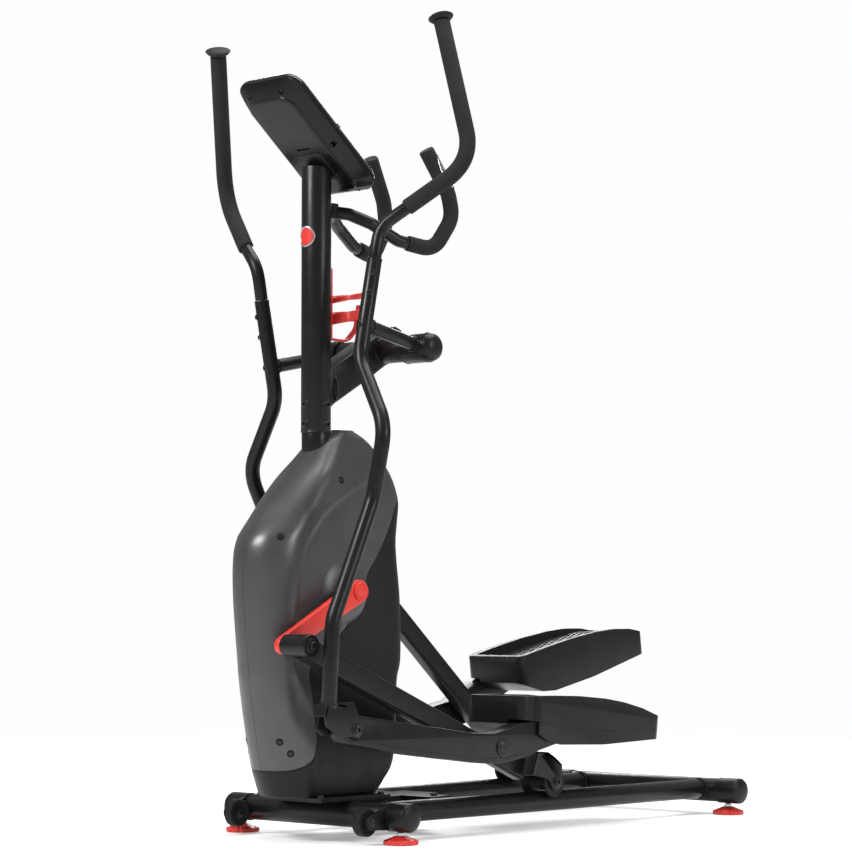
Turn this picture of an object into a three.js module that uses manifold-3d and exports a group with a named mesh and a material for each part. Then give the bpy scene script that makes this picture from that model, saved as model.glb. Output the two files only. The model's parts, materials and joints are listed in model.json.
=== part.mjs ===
// Elliptical trainer, millimetres, +Z up, +Y towards the user, +X the user's left.
// Heights and positions are written from the mast axis; every node is moved by MAST_Y at the end.
import * as THREE from "three";
import { mergeVertices } from "three/addons/utils/BufferGeometryUtils.js";
import Module from "manifold-3d";

const wasm = await Module();
wasm.setup();

// ---------------------------------------------------------------- driving dimensions
const MAST_Y = -437.64;
const GAP = 0.3;

// Facets round small, medium and large round pieces.
const SMALL = 6;
const ROUND = 12;
const FINE = 16;

const STABILIZER_RADIUS = 25;
const FRONT_STABILIZER = { y: 13, z: 50, half: 188 };
const REAR_STABILIZER = { y: 1020, z: 50, half: 204 };
const RAIL_RADIUS = 20.5;
const RAIL_Z = 53;
const RAIL_FRONT = { x: 145.2, y: 13 };
const RAIL_REAR = { x: 167.3, y: 1020 };
const CAP_RADIUS = 27;
const CAP_LENGTH = 50;
const CAP_DOME = 10;
const FOOT_X_FRONT = 215;
const FOOT_X_REAR = 224;
const FOOT_RADIUS = 33;
const FOOT_HEIGHT = 16;
const STEM_RADIUS = 5;
const WHEEL = { y: -42, z: 42, radius: 26.5, inner: 164, outer: 184 };

const MAST_RADIUS = 29;
const NECK_RADIUS = 27;
const MAST_BOTTOM = 780;
const MAST_TOP = 1330;
const POST_HALF = 20;

const AXLE = { y: 9, z: 472 };
const AXLE_RADIUS = 10;
const AXLE_HALF = 99.7;
const CRANK_RADIUS = 222;
const CRANK_ANGLE = 206.9;
const CRANK_INNER = 100;
const CRANK_OUTER = 113;

const ROLLER_ARM_LENGTH = 733.5;
const ROLLER_Z = 92.6;
const PEDAL_PIVOT_ALONG = 536;
const ROLLER_ARM = { inner: 133.5, outer: 163.5, half: 21 };
const HOUSING = { inner: 116.3, outer: 181, radius: 21 };
const ROLLER = { inner: 127, outer: 183, waist: 17, flange: 30, flangeWidth: 5, bore: 6.5 };

const SWING_PIVOT = { y: 164, z: 946.5 };
const SWING_TILT_LEFT = 11.507;
const SWING_TILT_RIGHT = -11.455;
const LINK_PIN = { n: -118.8, s: -768.8 };
const PEDAL_ARM_LENGTH = 415.4;
const PEDAL_ARM = { inner: 172, outer: 210, half: 29 };
const LINK_BOLT_RADIUS = 6;
const LINK_EYE_RADIUS = 16.5;

const PULLEY = { inner: 27, outer: 39, radius: 128 };
const FLYWHEEL = { y: 46, z: 232, inner: -48, outer: -28, radius: 104, driven: 24 };
const BELT_THICKNESS = 3;

const CONSOLE_TILT = 38.5;
const CONSOLE_Z = 1297;

// ---------------------------------------------------------------- finishes
const FINISH = {
  satinBlack: { color: 0x17181a, roughness: 0.45, metalness: 0.4 },
  shellGrey: { color: 0x4a4b4d, roughness: 0.42, metalness: 0.35 },
  coverBlack: { color: 0x1d1e20, roughness: 0.55, metalness: 0.05 },
  red: { color: 0xd9352c, roughness: 0.45, metalness: 0.05 },
  foam: { color: 0x232427, roughness: 0.9, metalness: 0 },
  pedal: { color: 0x242528, roughness: 0.6, metalness: 0 },
  rubber: { color: 0x141416, roughness: 0.85, metalness: 0 },
  chrome: { color: 0xc9ccd0, roughness: 0.15, metalness: 1 },
  steel: { color: 0x8d9196, roughness: 0.35, metalness: 1 },
  castIron: { color: 0x3b3c3e, roughness: 0.6, metalness: 0.8 },
  screen: { color: 0x0c1210, roughness: 0.15, metalness: 0 },
};

// ---------------------------------------------------------------- shape helpers
const WELD = 1e-3;
const radians = THREE.MathUtils.degToRad;

function facingOut(geometry) {
  const plain = geometry.index ? geometry.toNonIndexed() : geometry.clone();
  const p = plain.attributes.position;
  let volume = 0;
  const [a, b, c] = [new THREE.Vector3(), new THREE.Vector3(), new THREE.Vector3()];
  for (let i = 0; i < p.count; i += 3) {
    a.fromBufferAttribute(p, i);
    b.fromBufferAttribute(p, i + 1);
    c.fromBufferAttribute(p, i + 2);
    volume += a.dot(b.cross(c));
  }
  if (volume < 0) {
    const flipped = new Float32Array(p.array);
    for (let i = 0; i < p.count; i += 3) {
      for (let k = 0; k < 3; k += 1) {
        flipped[3 * (i + 1) + k] = p.array[3 * (i + 2) + k];
        flipped[3 * (i + 2) + k] = p.array[3 * (i + 1) + k];
      }
    }
    plain.setAttribute("position", new THREE.BufferAttribute(flipped, 3));
  }
  return plain;
}

function solid(geometry) {
  const bare = facingOut(geometry);
  bare.deleteAttribute("normal");
  bare.deleteAttribute("uv");
  const merged = mergeVertices(bare, WELD);
  const corners = merged.index.array;
  const kept = [];
  for (let i = 0; i < corners.length; i += 3) {
    const [a, b, c] = [corners[i], corners[i + 1], corners[i + 2]];
    if (a !== b && b !== c && c !== a) {
      kept.push(a, b, c);
    }
  }
  const vertProperties = new Float32Array(merged.attributes.position.array);
  return new wasm.Manifold(new wasm.Mesh({ numProp: 3, vertProperties, triVerts: new Uint32Array(kept) }));
}

function geometryOf(manifold) {
  const mesh = manifold.getMesh();
  const geometry = new THREE.BufferGeometry();
  geometry.setAttribute("position", new THREE.BufferAttribute(Float32Array.from(mesh.vertProperties), 3));
  geometry.setIndex(Array.from(mesh.triVerts));
  return geometry;
}

function join(...pieces) {
  return geometryOf(pieces.map(solid).reduce((all, piece) => all.add(piece)));
}

function cut(body, ...tools) {
  return geometryOf(tools.map(solid).reduce((left, tool) => left.subtract(tool), solid(body)));
}

function common(first, second) {
  return geometryOf(solid(first).intersect(solid(second)));
}

function box(x, y, z) {
  const geometry = new THREE.BoxGeometry(x[1] - x[0], y[1] - y[0], z[1] - z[0]);
  return geometry.translate((x[0] + x[1]) / 2, (y[0] + y[1]) / 2, (z[0] + z[1]) / 2);
}

function rod(from, to, radius, sides = ROUND, endRadius = radius) {
  const start = new THREE.Vector3(...from);
  const end = new THREE.Vector3(...to);
  const along = end.clone().sub(start);
  const geometry = new THREE.CylinderGeometry(endRadius, radius, along.length(), sides);
  const upright = new THREE.Vector3(0, 1, 0);
  geometry.applyQuaternion(new THREE.Quaternion().setFromUnitVectors(upright, along.normalize()));
  const middle = start.add(end).multiplyScalar(0.5);
  return geometry.translate(middle.x, middle.y, middle.z);
}

function shapeOf(outline) {
  return new THREE.Shape(outline.map(([u, v]) => new THREE.Vector2(u, v)));
}

function prismX(outline, x0, x1) {
  const geometry = new THREE.ExtrudeGeometry(shapeOf(outline), { depth: x1 - x0, bevelEnabled: false });
  const basis = new THREE.Matrix4();
  basis.makeBasis(new THREE.Vector3(0, 1, 0), new THREE.Vector3(0, 0, 1), new THREE.Vector3(1, 0, 0));
  return geometry.applyMatrix4(basis).translate(x0, 0, 0);
}

function prismZ(outline, z0, z1) {
  const geometry = new THREE.ExtrudeGeometry(shapeOf(outline), { depth: z1 - z0, bevelEnabled: false });
  return geometry.translate(0, 0, z0);
}

function turnedX(profile, y, z, sides = FINE) {
  const points = profile.map(([x, radius]) => new THREE.Vector2(radius, x));
  const geometry = new THREE.LatheGeometry(points, sides);
  return geometry.rotateZ(-Math.PI / 2).translate(0, y, z);
}

function mirrored(geometry) {
  return geometry.clone().scale(-1, 1, 1);
}

function arc(centre, radius, from, to, steps) {
  const points = [];
  for (let i = 0; i <= steps; i += 1) {
    const angle = radians(from + ((to - from) * i) / steps);
    points.push([centre[0] + radius * Math.cos(angle), centre[1] + radius * Math.sin(angle)]);
  }
  return points;
}

function circle(centre, radius, sides) {
  return arc(centre, radius, 0, 360 - 360 / sides, sides - 1);
}

function strap(from, fromRadius, to, toRadius, steps = 7) {
  const heading = THREE.MathUtils.radToDeg(Math.atan2(to[1] - from[1], to[0] - from[0]));
  return [
    ...arc(from, fromRadius, heading + 90, heading + 270, steps),
    ...arc(to, toRadius, heading - 90, heading + 90, steps),
  ];
}

function roundedBox(x, y, corner, steps = 3) {
  return [
    ...arc([x[1] - corner, y[0] + corner], corner, -90, 0, steps),
    ...arc([x[1] - corner, y[1] - corner], corner, 0, 90, steps),
    ...arc([x[0] + corner, y[1] - corner], corner, 90, 180, steps),
    ...arc([x[0] + corner, y[0] + corner], corner, 180, 270, steps),
  ];
}

// A path through given points whose corners are turned with a bend radius.
class Route extends THREE.Curve {
  constructor(corners, bend, steps) {
    super();
    const path = corners.map((corner) => new THREE.Vector3(...corner));
    this.points = [path[0]];
    for (let i = 1; i < path.length - 1; i += 1) {
      const back = path[i - 1].clone().sub(path[i]);
      const ahead = path[i + 1].clone().sub(path[i]);
      const room = 0.48 * Math.min(back.length(), ahead.length());
      const half = back.angleTo(ahead) / 2;
      const reach = Math.min(room, bend / Math.tan(half));
      const start = path[i].clone().addScaledVector(back.normalize(), reach);
      const end = path[i].clone().addScaledVector(ahead.normalize(), reach);
      const curve = new THREE.QuadraticBezierCurve3(start, path[i], end);
      this.points.push(...curve.getPoints(steps));
    }
    this.points.push(path[path.length - 1]);
  }

  getUtoTmapping(u) {
    return u;
  }

  getPoint(t, target = new THREE.Vector3()) {
    const place = Math.min(Math.max(t, 0), 1) * (this.points.length - 1);
    const index = Math.min(Math.floor(place), this.points.length - 2);
    return target.lerpVectors(this.points[index], this.points[index + 1], place - index);
  }
}

function pipe(corners, radius, bend = 40, sides = ROUND, steps = 3) {
  const path = new Route(corners, bend, steps);
  const options = { steps: path.points.length - 1, extrudePath: path, bevelEnabled: false };
  return new THREE.ExtrudeGeometry(shapeOf(circle([0, 0], radius, sides)), options);
}

function bolt(from, to, radius) {
  return rod(from, to, radius, SMALL);
}

// The radius of a faceted hole that a round pin turns in freely.
function holeRadius(pinRadius, sides = ROUND) {
  return (pinRadius + GAP) / Math.cos(Math.PI / sides);
}

// ---------------------------------------------------------------- linkage at rest
function linkSide(crankDegrees, swingTilt) {
  const crank = radians(crankDegrees);
  const pin = {
    y: AXLE.y + CRANK_RADIUS * Math.cos(crank),
    z: AXLE.z + CRANK_RADIUS * Math.sin(crank),
  };
  const slope = Math.asin((pin.z - ROLLER_Z) / ROLLER_ARM_LENGTH);
  const along = (distance) => ({
    y: pin.y + distance * Math.cos(slope),
    z: pin.z - distance * Math.sin(slope),
  });
  const pivot = along(PEDAL_PIVOT_ALONG);
  const tilt = radians(swingTilt);
  const link = {
    y: SWING_PIVOT.y + LINK_PIN.s * Math.sin(tilt) + LINK_PIN.n * Math.cos(tilt),
    z: SWING_PIVOT.z + LINK_PIN.s * Math.cos(tilt) - LINK_PIN.n * Math.sin(tilt),
  };
  const pitch = Math.atan2(pivot.z - link.z, pivot.y - link.y);
  return { crank, pin, slope, hub: along(ROLLER_ARM_LENGTH), pivot, tilt, pitch };
}

const LEFT = linkSide(CRANK_ANGLE, SWING_TILT_LEFT);
const RIGHT = linkSide(CRANK_ANGLE - 180, SWING_TILT_RIGHT);

// ---------------------------------------------------------------- node list
const model = new THREE.Group();
model.name = "elliptical_trainer";

function add(name, geometry, finish) {
  const clean = geometryOf(solid(geometry)).translate(0, MAST_Y, 0);
  const mesh = new THREE.Mesh(clean, new THREE.MeshStandardMaterial(FINISH[finish]));
  mesh.name = name;
  model.add(mesh);
}

function addBoth(name, geometry, finish) {
  add(`${name}_left`, geometry, finish);
  add(`${name}_right`, mirrored(geometry), finish);
}

// Places a left-hand piece, drawn about its own pivot, on both sides of the machine.
function addPosed(name, geometry, finish, pose) {
  const left = pose(LEFT);
  const right = pose(RIGHT);
  add(`${name}_left`, geometry.clone().rotateX(left.turn).translate(0, left.y, left.z), finish);
  add(`${name}_right`, mirrored(geometry).rotateX(right.turn).translate(0, right.y, right.z), finish);
}

const onCrank = (side) => ({ turn: side.crank, y: AXLE.y, z: AXLE.z });
const onPin = (side) => ({ turn: -side.slope, y: side.pin.y, z: side.pin.z });
const onHub = (side) => ({ turn: -side.slope, y: side.hub.y, z: side.hub.z });
const onPedalPivot = (side) => ({ turn: side.pitch, y: side.pivot.y, z: side.pivot.z });
const onSwing = (side) => ({ turn: -side.tilt, y: SWING_PIVOT.y, z: SWING_PIVOT.z });

// ---------------------------------------------------------------- base frame
function stabilizer({ y, z, half }) {
  return rod([-half, y, z], [half, y, z], STABILIZER_RADIUS, FINE);
}

add("front_stabilizer", stabilizer(FRONT_STABILIZER), "satinBlack");
add("rear_stabilizer", stabilizer(REAR_STABILIZER), "satinBlack");

const clearance = STABILIZER_RADIUS + GAP;
const rail = cut(
  rod([RAIL_FRONT.x, RAIL_FRONT.y, RAIL_Z], [RAIL_REAR.x, RAIL_REAR.y, RAIL_Z], RAIL_RADIUS, FINE),
  rod([100, FRONT_STABILIZER.y, 50], [220, FRONT_STABILIZER.y, 50], clearance, FINE),
  rod([100, REAR_STABILIZER.y, 50], [220, REAR_STABILIZER.y, 50], clearance, FINE),
);
addBoth("rail", rail, "satinBlack");

function capProfile(start) {
  const edge = start + CAP_LENGTH;
  return [
    [start, 0],
    [start, CAP_RADIUS],
    [edge, CAP_RADIUS],
    [edge + CAP_DOME * 0.6, CAP_RADIUS * 0.86],
    [edge + CAP_DOME * 0.9, CAP_RADIUS * 0.5],
    [edge + CAP_DOME, 0],
  ];
}

function stemHole(x, y) {
  return rod([x, y, 10], [x, y, 42], holeRadius(STEM_RADIUS));
}

const wheelFork = prismX(
  strap([WHEEL.y, WHEEL.z], 14, [FRONT_STABILIZER.y, FRONT_STABILIZER.z], 25),
  FRONT_STABILIZER.half + GAP,
  FRONT_STABILIZER.half + 9,
);
const wheelPin = rod([WHEEL.inner - 4, WHEEL.y, WHEEL.z], [FRONT_STABILIZER.half + 13, WHEEL.y, WHEEL.z], 4);
const wheelPinHead = bolt([WHEEL.inner - 5, WHEEL.y, WHEEL.z], [WHEEL.inner - GAP, WHEEL.y, WHEEL.z], 8);
const frontSleeve = turnedX(capProfile(FRONT_STABILIZER.half + GAP), FRONT_STABILIZER.y, FRONT_STABILIZER.z);
const frontCap = cut(
  join(frontSleeve, wheelFork, wheelPin, wheelPinHead),
  stemHole(FOOT_X_FRONT, FRONT_STABILIZER.y),
);
addBoth("front_cap", frontCap, "coverBlack");

const rearCap = cut(
  turnedX(capProfile(REAR_STABILIZER.half + GAP), REAR_STABILIZER.y, REAR_STABILIZER.z),
  stemHole(FOOT_X_REAR, REAR_STABILIZER.y),
);
addBoth("rear_cap", rearCap, "coverBlack");

const wheelBore = holeRadius(4, FINE);
const wheel = turnedX(
  [
    [WHEEL.inner, wheelBore],
    [WHEEL.inner, WHEEL.radius - 3],
    [WHEEL.inner + 3, WHEEL.radius],
    [WHEEL.outer - 3, WHEEL.radius],
    [WHEEL.outer, WHEEL.radius - 3],
    [WHEEL.outer, wheelBore],
    [WHEEL.inner, wheelBore],
  ],
  WHEEL.y,
  WHEEL.z,
);
addBoth("transport_wheel", wheel, "rubber");

// Leveling foot: a fluted pad under a threaded stem.
const FLUTES = 10;
const padOutline = [];
for (let i = 0; i < FLUTES * 2; i += 1) {
  const radius = i % 2 === 0 ? FOOT_RADIUS : FOOT_RADIUS - 3.5;
  padOutline.push([radius * Math.cos((Math.PI * i) / FLUTES), radius * Math.sin((Math.PI * i) / FLUTES)]);
}
function foot(x, y) {
  const pad = prismZ(padOutline, 0, FOOT_HEIGHT * 0.55).translate(x, y, 0);
  const cone = rod([x, y, 8], [x, y, FOOT_HEIGHT], FOOT_RADIUS * 0.82, ROUND, FOOT_RADIUS * 0.42);
  return join(pad, cone, rod([x, y, FOOT_HEIGHT - 1], [x, y, 41], STEM_RADIUS));
}
addBoth("front_foot", foot(FOOT_X_FRONT, FRONT_STABILIZER.y), "red");
addBoth("rear_foot", foot(FOOT_X_REAR, REAR_STABILIZER.y), "red");

// Main frame: beam and cross plate on the base, the post inside the shroud and the neck above it.
const beamTop = 74;
const beam = box([-45, 45], [FRONT_STABILIZER.y + clearance, 300], [34, beamTop]);
const crossPlate = prismZ(
  [
    [-126, 196],
    [126, 196],
    [112, 262],
    [-112, 262],
  ],
  64,
  beamTop,
);
const frontPlate = box([-95, 95], [-78, 110], [75.3, 83.4]);
const plateRiser = box([-40, 40], [40, 100], [beamTop - 4, 80]);
const post = box([-POST_HALF, POST_HALF], [-POST_HALF, POST_HALF], [80, 742]);
const neck = rod([0, 0, 735], [0, 0, MAST_BOTTOM - GAP], NECK_RADIUS, FINE);
const flywheelCheeks = join(
  box([-POST_HALF - 5, -POST_HALF + 1], [-POST_HALF, FLYWHEEL.y + 16], [FLYWHEEL.z - 24, FLYWHEEL.z + 24]),
  box([POST_HALF - 1, POST_HALF + 4], [-POST_HALF, FLYWHEEL.y + 16], [FLYWHEEL.z - 24, FLYWHEEL.z + 24]),
);
const shaftHole = rod([-60, FLYWHEEL.y, FLYWHEEL.z], [60, FLYWHEEL.y, FLYWHEEL.z], holeRadius(8));
const axleHole = rod([-60, AXLE.y, AXLE.z], [60, AXLE.y, AXLE.z], holeRadius(AXLE_RADIUS));
const axleBoss = rod([-24, AXLE.y, AXLE.z], [24, AXLE.y, AXLE.z], 24, FINE);
const BRAKE_PIVOT = { y: -48, z: 166 };
const brakeStand = join(
  box([-24, -19], [BRAKE_PIVOT.y - 12, -16], [BRAKE_PIVOT.z - 16, BRAKE_PIVOT.z + 16]),
  rod([-54, BRAKE_PIVOT.y, BRAKE_PIVOT.z], [-20, BRAKE_PIVOT.y, BRAKE_PIVOT.z], 4),
);
const mainFrame = cut(
  join(beam, crossPlate, frontPlate, plateRiser, post, neck, flywheelCheeks, axleBoss, brakeStand),
  axleHole,
  shaftHole,
);
add("main_frame", mainFrame, "satinBlack");

// ---------------------------------------------------------------- mast and pivot arm
const consoleSlope = Math.tan(radians(CONSOLE_TILT));
const mastTopCut = prismX(
  [
    [-60, CONSOLE_Z + 60 * consoleSlope - GAP],
    [60, CONSOLE_Z - 60 * consoleSlope - GAP],
    [60, 1500],
    [-60, 1500],
  ],
  -60,
  60,
);
const mastBolts = [];
for (const z of [794, 832]) {
  for (const [x, y] of [[0, -1], [1, 0], [-1, 0]]) {
    const head = MAST_RADIUS + 4;
    mastBolts.push(bolt([x * 20, y * 20, z], [x * head, y * head, z], 6));
  }
}
const mastTube = rod([0, 0, MAST_BOTTOM], [0, 0, MAST_TOP], MAST_RADIUS, FINE);
add("mast", cut(join(mastTube, ...mastBolts), mastTopCut), "satinBlack");

const BADGE = { z: 1158, radius: 20, thickness: 1.5 };
const badgeBand = cut(
  rod([0, 0, BADGE.z - 30], [0, 0, BADGE.z + 30], MAST_RADIUS + GAP + BADGE.thickness, FINE),
  rod([0, 0, BADGE.z - 40], [0, 0, BADGE.z + 40], MAST_RADIUS + GAP, FINE),
);
add("mast_badge", common(rod([0, -60, BADGE.z], [0, 0, BADGE.z], BADGE.radius, FINE), badgeBand), "red");

const mastClear = rod([0, 0, 700], [0, 0, 1300], MAST_RADIUS + GAP, FINE);
const armBox = prismX(
  [
    [10, 826],
    [196, 933],
    [226, 985],
    [200, 1000],
    [172, 992],
    [10, 899],
  ],
  -25,
  25,
);
const crossTube = rod([-87, SWING_PIVOT.y, SWING_PIVOT.z], [87, SWING_PIVOT.y, SWING_PIVOT.z], 25, FINE);
const crossShaft = rod([-152, SWING_PIVOT.y, SWING_PIVOT.z], [152, SWING_PIVOT.y, SWING_PIVOT.z], 8);
add("pivot_bracket", join(cut(armBox, mastClear), crossTube, crossShaft), "satinBlack");

// Bottle cage on the back of the mast: a plate, two hoops and a foot.
const cagePlate = box([-12, 12], [MAST_RADIUS + GAP, MAST_RADIUS + 5], [957, 1104]);
const hoop = (z, lift) => pipe(
  [
    [-10, 32, z],
    [-36, 44, z + lift * 0.3],
    [-38, 92, z + lift],
    [0, 122, z + lift],
    [38, 92, z + lift],
    [36, 44, z + lift * 0.3],
    [10, 32, z],
  ],
  4.5,
  26,
  6,
  2,
);
const cageFoot = pipe([[0, 32, 964], [0, 84, 962], [0, 112, 990], [0, 121, 1038]], 5.5, 24, 6, 2);
add("bottle_cage", join(cagePlate, hoop(1034, 16), hoop(1000, 14), cageFoot), "red");

// ---------------------------------------------------------------- fixed handlebar
const HANDLE_START = [67.5, 185.8, 1159.8];
const handlePath = [
  [0, MAST_RADIUS + 14, 1213],
  [24, 66, 1209],
  [45, 106, 1193],
  [62, 166, 1163],
];
const fullBar = [
  HANDLE_START,
  ...handlePath.slice(1).reverse(),
  handlePath[0],
  ...handlePath.slice(1).map(([x, y, z]) => [-x, y, z]),
  [-HANDLE_START[0], HANDLE_START[1], HANDLE_START[2]],
];
const handleMount = box([-16, 16], [MAST_RADIUS - 8, MAST_RADIUS + 16], [1198, 1228]);
add("fixed_handlebar", join(pipe(fullBar, 12.5, 30, 10, 2), cut(handleMount, mastClear)), "satinBlack");

const gripPath = [
  [67.6, 186.2, 1159.7],
  [84, 245, 1150],
  [92, 292, 1220],
  [89, 282, 1268],
  [77, 230, 1350],
];
const fixedGrip = pipe(gripPath, 15.5, 60, 10, 3);
const plateStart = [85.2, 265.6, 1293.9];
const plateEnd = [78.8, 237.8, 1337.7];
const plateBore = rod([88.2, 278.6, 1273.4], [76, 225.6, 1356.9], 16.6, 16);
const pulsePlate = cut(rod(plateStart, plateEnd, 18.2, 16), plateBore);
addBoth("fixed_grip", fixedGrip, "foam");
addBoth("pulse_plate", pulsePlate, "chrome");

// ---------------------------------------------------------------- console
function onConsole(geometry) {
  return geometry.rotateX(-radians(CONSOLE_TILT)).translate(0, 0, CONSOLE_Z);
}

function frustum(lower, upper) {
  const count = lower.length;
  const corners = [...lower, ...upper].map((corner) => new THREE.Vector3(...corner));
  const triangles = [];
  const push = (a, b, c) => triangles.push(corners[a], corners[b], corners[c]);
  for (let i = 0; i < count; i += 1) {
    const next = (i + 1) % count;
    push(i, next, count + i);
    push(next, count + next, count + i);
    if (i > 0 && i < count - 1) {
      push(0, i + 1, i);
      push(count, count + i, count + i + 1);
    }
  }
  return new THREE.BufferGeometry().setFromPoints(triangles);
}

const rimOutline = roundedBox([-82, 82], [-206, 95], 34, 4);
const backOutline = roundedBox([-62, 62], [-178, 74], 30, 4);
const raise = (outline, z) => outline.map(([x, y]) => [x, y, z]);
const rearShell = join(
  frustum(raise(backOutline, 0), raise(rimOutline, 26)),
  frustum(raise(rimOutline, 26), raise(rimOutline, 32)),
);
add("console_rear_shell", onConsole(rearShell), "coverBlack");

const bezelTop = roundedBox([-76, 76], [-200, 89], 30, 4);
const screenPocket = prismZ(roundedBox([-58, 58], [-170, -62], 6, 2), 38, 60);
const BUTTON_X = [-38, 0, 38];
const BUTTON_Y = -20;
const buttonPockets = BUTTON_X.map((x) => rod([x, BUTTON_Y, 36], [x, BUTTON_Y, 60], 11 + GAP));
const shelfLip = box([20, 66], [-50, -44], [40, 56]);
const bezelBody = frustum(raise(rimOutline, 32 + GAP), raise(bezelTop, 44));
const shelfBack = box([-66, 66], [28, 34], [40, 52]);
const bezel = cut(
  join(bezelBody, shelfBack, shelfLip),
  screenPocket,
  ...buttonPockets,
);
add("console_bezel", onConsole(bezel), "coverBlack");
add("console_screen", onConsole(prismZ(roundedBox([-57, 57], [-169, -63], 5, 2), 38 + GAP, 43)), "screen");
BUTTON_X.forEach((x, index) => {
  const button = rod([x, BUTTON_Y, 38.5], [x, BUTTON_Y, 46], 11, ROUND, 10);
  add(`console_button_${index + 1}`, onConsole(button), index === 1 ? "red" : "rubber");
});

// ---------------------------------------------------------------- shroud
// Each level gives height, front, rear and half width of the shroud.
const SHROUD_LEVELS = [
  [84, -122, 116, 67],
  [108, -131, 136, 70],
  [145, -143, 160, 73],
  [223, -160, 167, 74],
  [301, -173, 170, 75],
  [345, -178, 180, 75],
  [455, -189, 178, 75],
  [530, -190, 169, 75],
  [572, -180, 167, 74],
  [611, -150, 172, 73],
  [650, -118, 177, 70],
  [692, -79, 165, 64],
  [726, -42, 146, 54],
  [748, -20, 128, 46],
  [768, 2, 108, 37],
  [784, 34, 86, 24],
];
const SKIN = 3;

function shroudRing([z, front, rear, half], inset) {
  const w = half - inset;
  const f = front + inset;
  const r = rear - inset;
  const nose = Math.min(w, (r - f) / 2);
  const tail = nose * 0.42;
  const right = [
    ...arc([w - tail, r - tail], tail, 0, 90, 2).reverse(),
    ...arc([w - nose, f + nose], nose, -90, 0, 4).reverse(),
  ];
  const left = right.map(([x, y]) => [-x, y]).reverse();
  return [...right, ...left].map(([x, y]) => [x, y, z]);
}

function loft(inset, lower, upper) {
  const rings = SHROUD_LEVELS.map((level) => shroudRing(level, inset));
  rings[0] = rings[0].map(([x, y, z]) => [x, y, z + lower]);
  rings[rings.length - 1] = rings[rings.length - 1].map(([x, y, z]) => [x, y, z + upper]);
  const count = rings[0].length;
  const flat = rings.flat().map((corner) => new THREE.Vector3(...corner));
  const triangles = [];
  const push = (a, b, c) => triangles.push(flat[a], flat[b], flat[c]);
  for (let level = 0; level < rings.length - 1; level += 1) {
    for (let i = 0; i < count; i += 1) {
      const a = level * count + i;
      const b = level * count + ((i + 1) % count);
      push(a, b, a + count);
      push(b, b + count, a + count);
    }
  }
  const last = (rings.length - 1) * count;
  for (let i = 1; i < count - 1; i += 1) {
    push(0, i + 1, i);
    push(last, last + i, last + i + 1);
  }
  return new THREE.BufferGeometry().setFromPoints(triangles);
}

const neckHole = rod([0, 0, 600], [0, 0, 900], NECK_RADIUS + 2 + GAP, FINE);
const axleWindow = rod([-120, AXLE.y, AXLE.z], [120, AXLE.y, AXLE.z], 30, FINE);
const INLET = { x: 30, y: 164, z: 200, radius: 7 };
const inletHole = rod([INLET.x, INLET.y - 30, INLET.z], [INLET.x, INLET.y + 40, INLET.z], INLET.radius + GAP);
const skin = cut(loft(0, 0, 0), loft(SKIN, -8, -SKIN), neckHole, axleWindow, inletHole);

const coverEdge = [
  [240, 830],
  [200, 722],
  [166, 658],
  [150, 631],
  [136, 602],
  [113, 562],
  [93, 534],
  [73, 508],
  [54, 462],
  [10, 402],
  [-30, 374],
  [-78, 336],
  [-86, 304],
  [-76, 267],
  [-65, 190],
  [-76, 158],
  [-98, 142],
  [-140, 134],
  [-260, 140],
];
const coverSide = prismX([...coverEdge, [-260, 40], [260, 40], [260, 830]], -120, 120);
const shellEdge = coverEdge.map(([y, z]) => [y - 0.5, z + 0.5]);
const shellSide = prismX([...shellEdge, [-300, 140], [-300, 900], [239, 900]], GAP / 2, 120);
add("shroud_left", common(skin, shellSide), "shellGrey");
add("shroud_right", mirrored(common(skin, shellSide)), "shellGrey");
add("shroud_rear_cover", common(skin, coverSide), "coverBlack");

const hubCover = turnedX(
  [
    [66, AXLE_RADIUS + 1.5],
    [66, 29.5],
    [80, 29.5],
    [92, 22],
    [92, AXLE_RADIUS + 1.5],
    [66, AXLE_RADIUS + 1.5],
  ],
  AXLE.y,
  AXLE.z,
);
addBoth("hub_cover", hubCover, "coverBlack");

const inlet = cut(
  rod([INLET.x, INLET.y - 6, INLET.z], [INLET.x, INLET.y + 13, INLET.z], INLET.radius),
  rod([INLET.x, INLET.y + 2, INLET.z], [INLET.x, INLET.y + 20, INLET.z], INLET.radius / 2, SMALL),
);
add("power_inlet", inlet, "rubber");

// ---------------------------------------------------------------- drive inside the shroud
const axle = rod([-AXLE_HALF, AXLE.y, AXLE.z], [AXLE_HALF, AXLE.y, AXLE.z], AXLE_RADIUS);
add("crank_axle", axle, "steel");

function ringX(inner, outer, small, large, y, z, sides) {
  const profile = [[inner, small], [inner, large], [outer, large], [outer, small], [inner, small]];
  return turnedX(profile, y, z, sides);
}

const pulleyWindows = [];
for (let i = 0; i < 5; i += 1) {
  const angle = radians(72 * i);
  const [y, z] = [AXLE.y + 76 * Math.cos(angle), AXLE.z + 76 * Math.sin(angle)];
  pulleyWindows.push(rod([PULLEY.inner - 5, y, z], [PULLEY.outer + 5, y, z], 27, SMALL));
}
const pulley = ringX(PULLEY.inner, PULLEY.outer, AXLE_RADIUS + GAP, PULLEY.radius, AXLE.y, AXLE.z, 28);
add("drive_pulley", cut(pulley, ...pulleyWindows), "coverBlack");

const drivenPulley = rod(
  [PULLEY.inner, FLYWHEEL.y, FLYWHEEL.z],
  [PULLEY.outer, FLYWHEEL.y, FLYWHEEL.z],
  FLYWHEEL.driven,
  FINE,
);
const flywheelShaft = rod([-56, FLYWHEEL.y, FLYWHEEL.z], [46, FLYWHEEL.y, FLYWHEEL.z], 8);
const flywheelDisc = rod(
  [FLYWHEEL.inner, FLYWHEEL.y, FLYWHEEL.z],
  [FLYWHEEL.outer, FLYWHEEL.y, FLYWHEEL.z],
  FLYWHEEL.radius,
  28,
);
add("flywheel", join(drivenPulley, flywheelShaft, flywheelDisc), "castIron");

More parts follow.
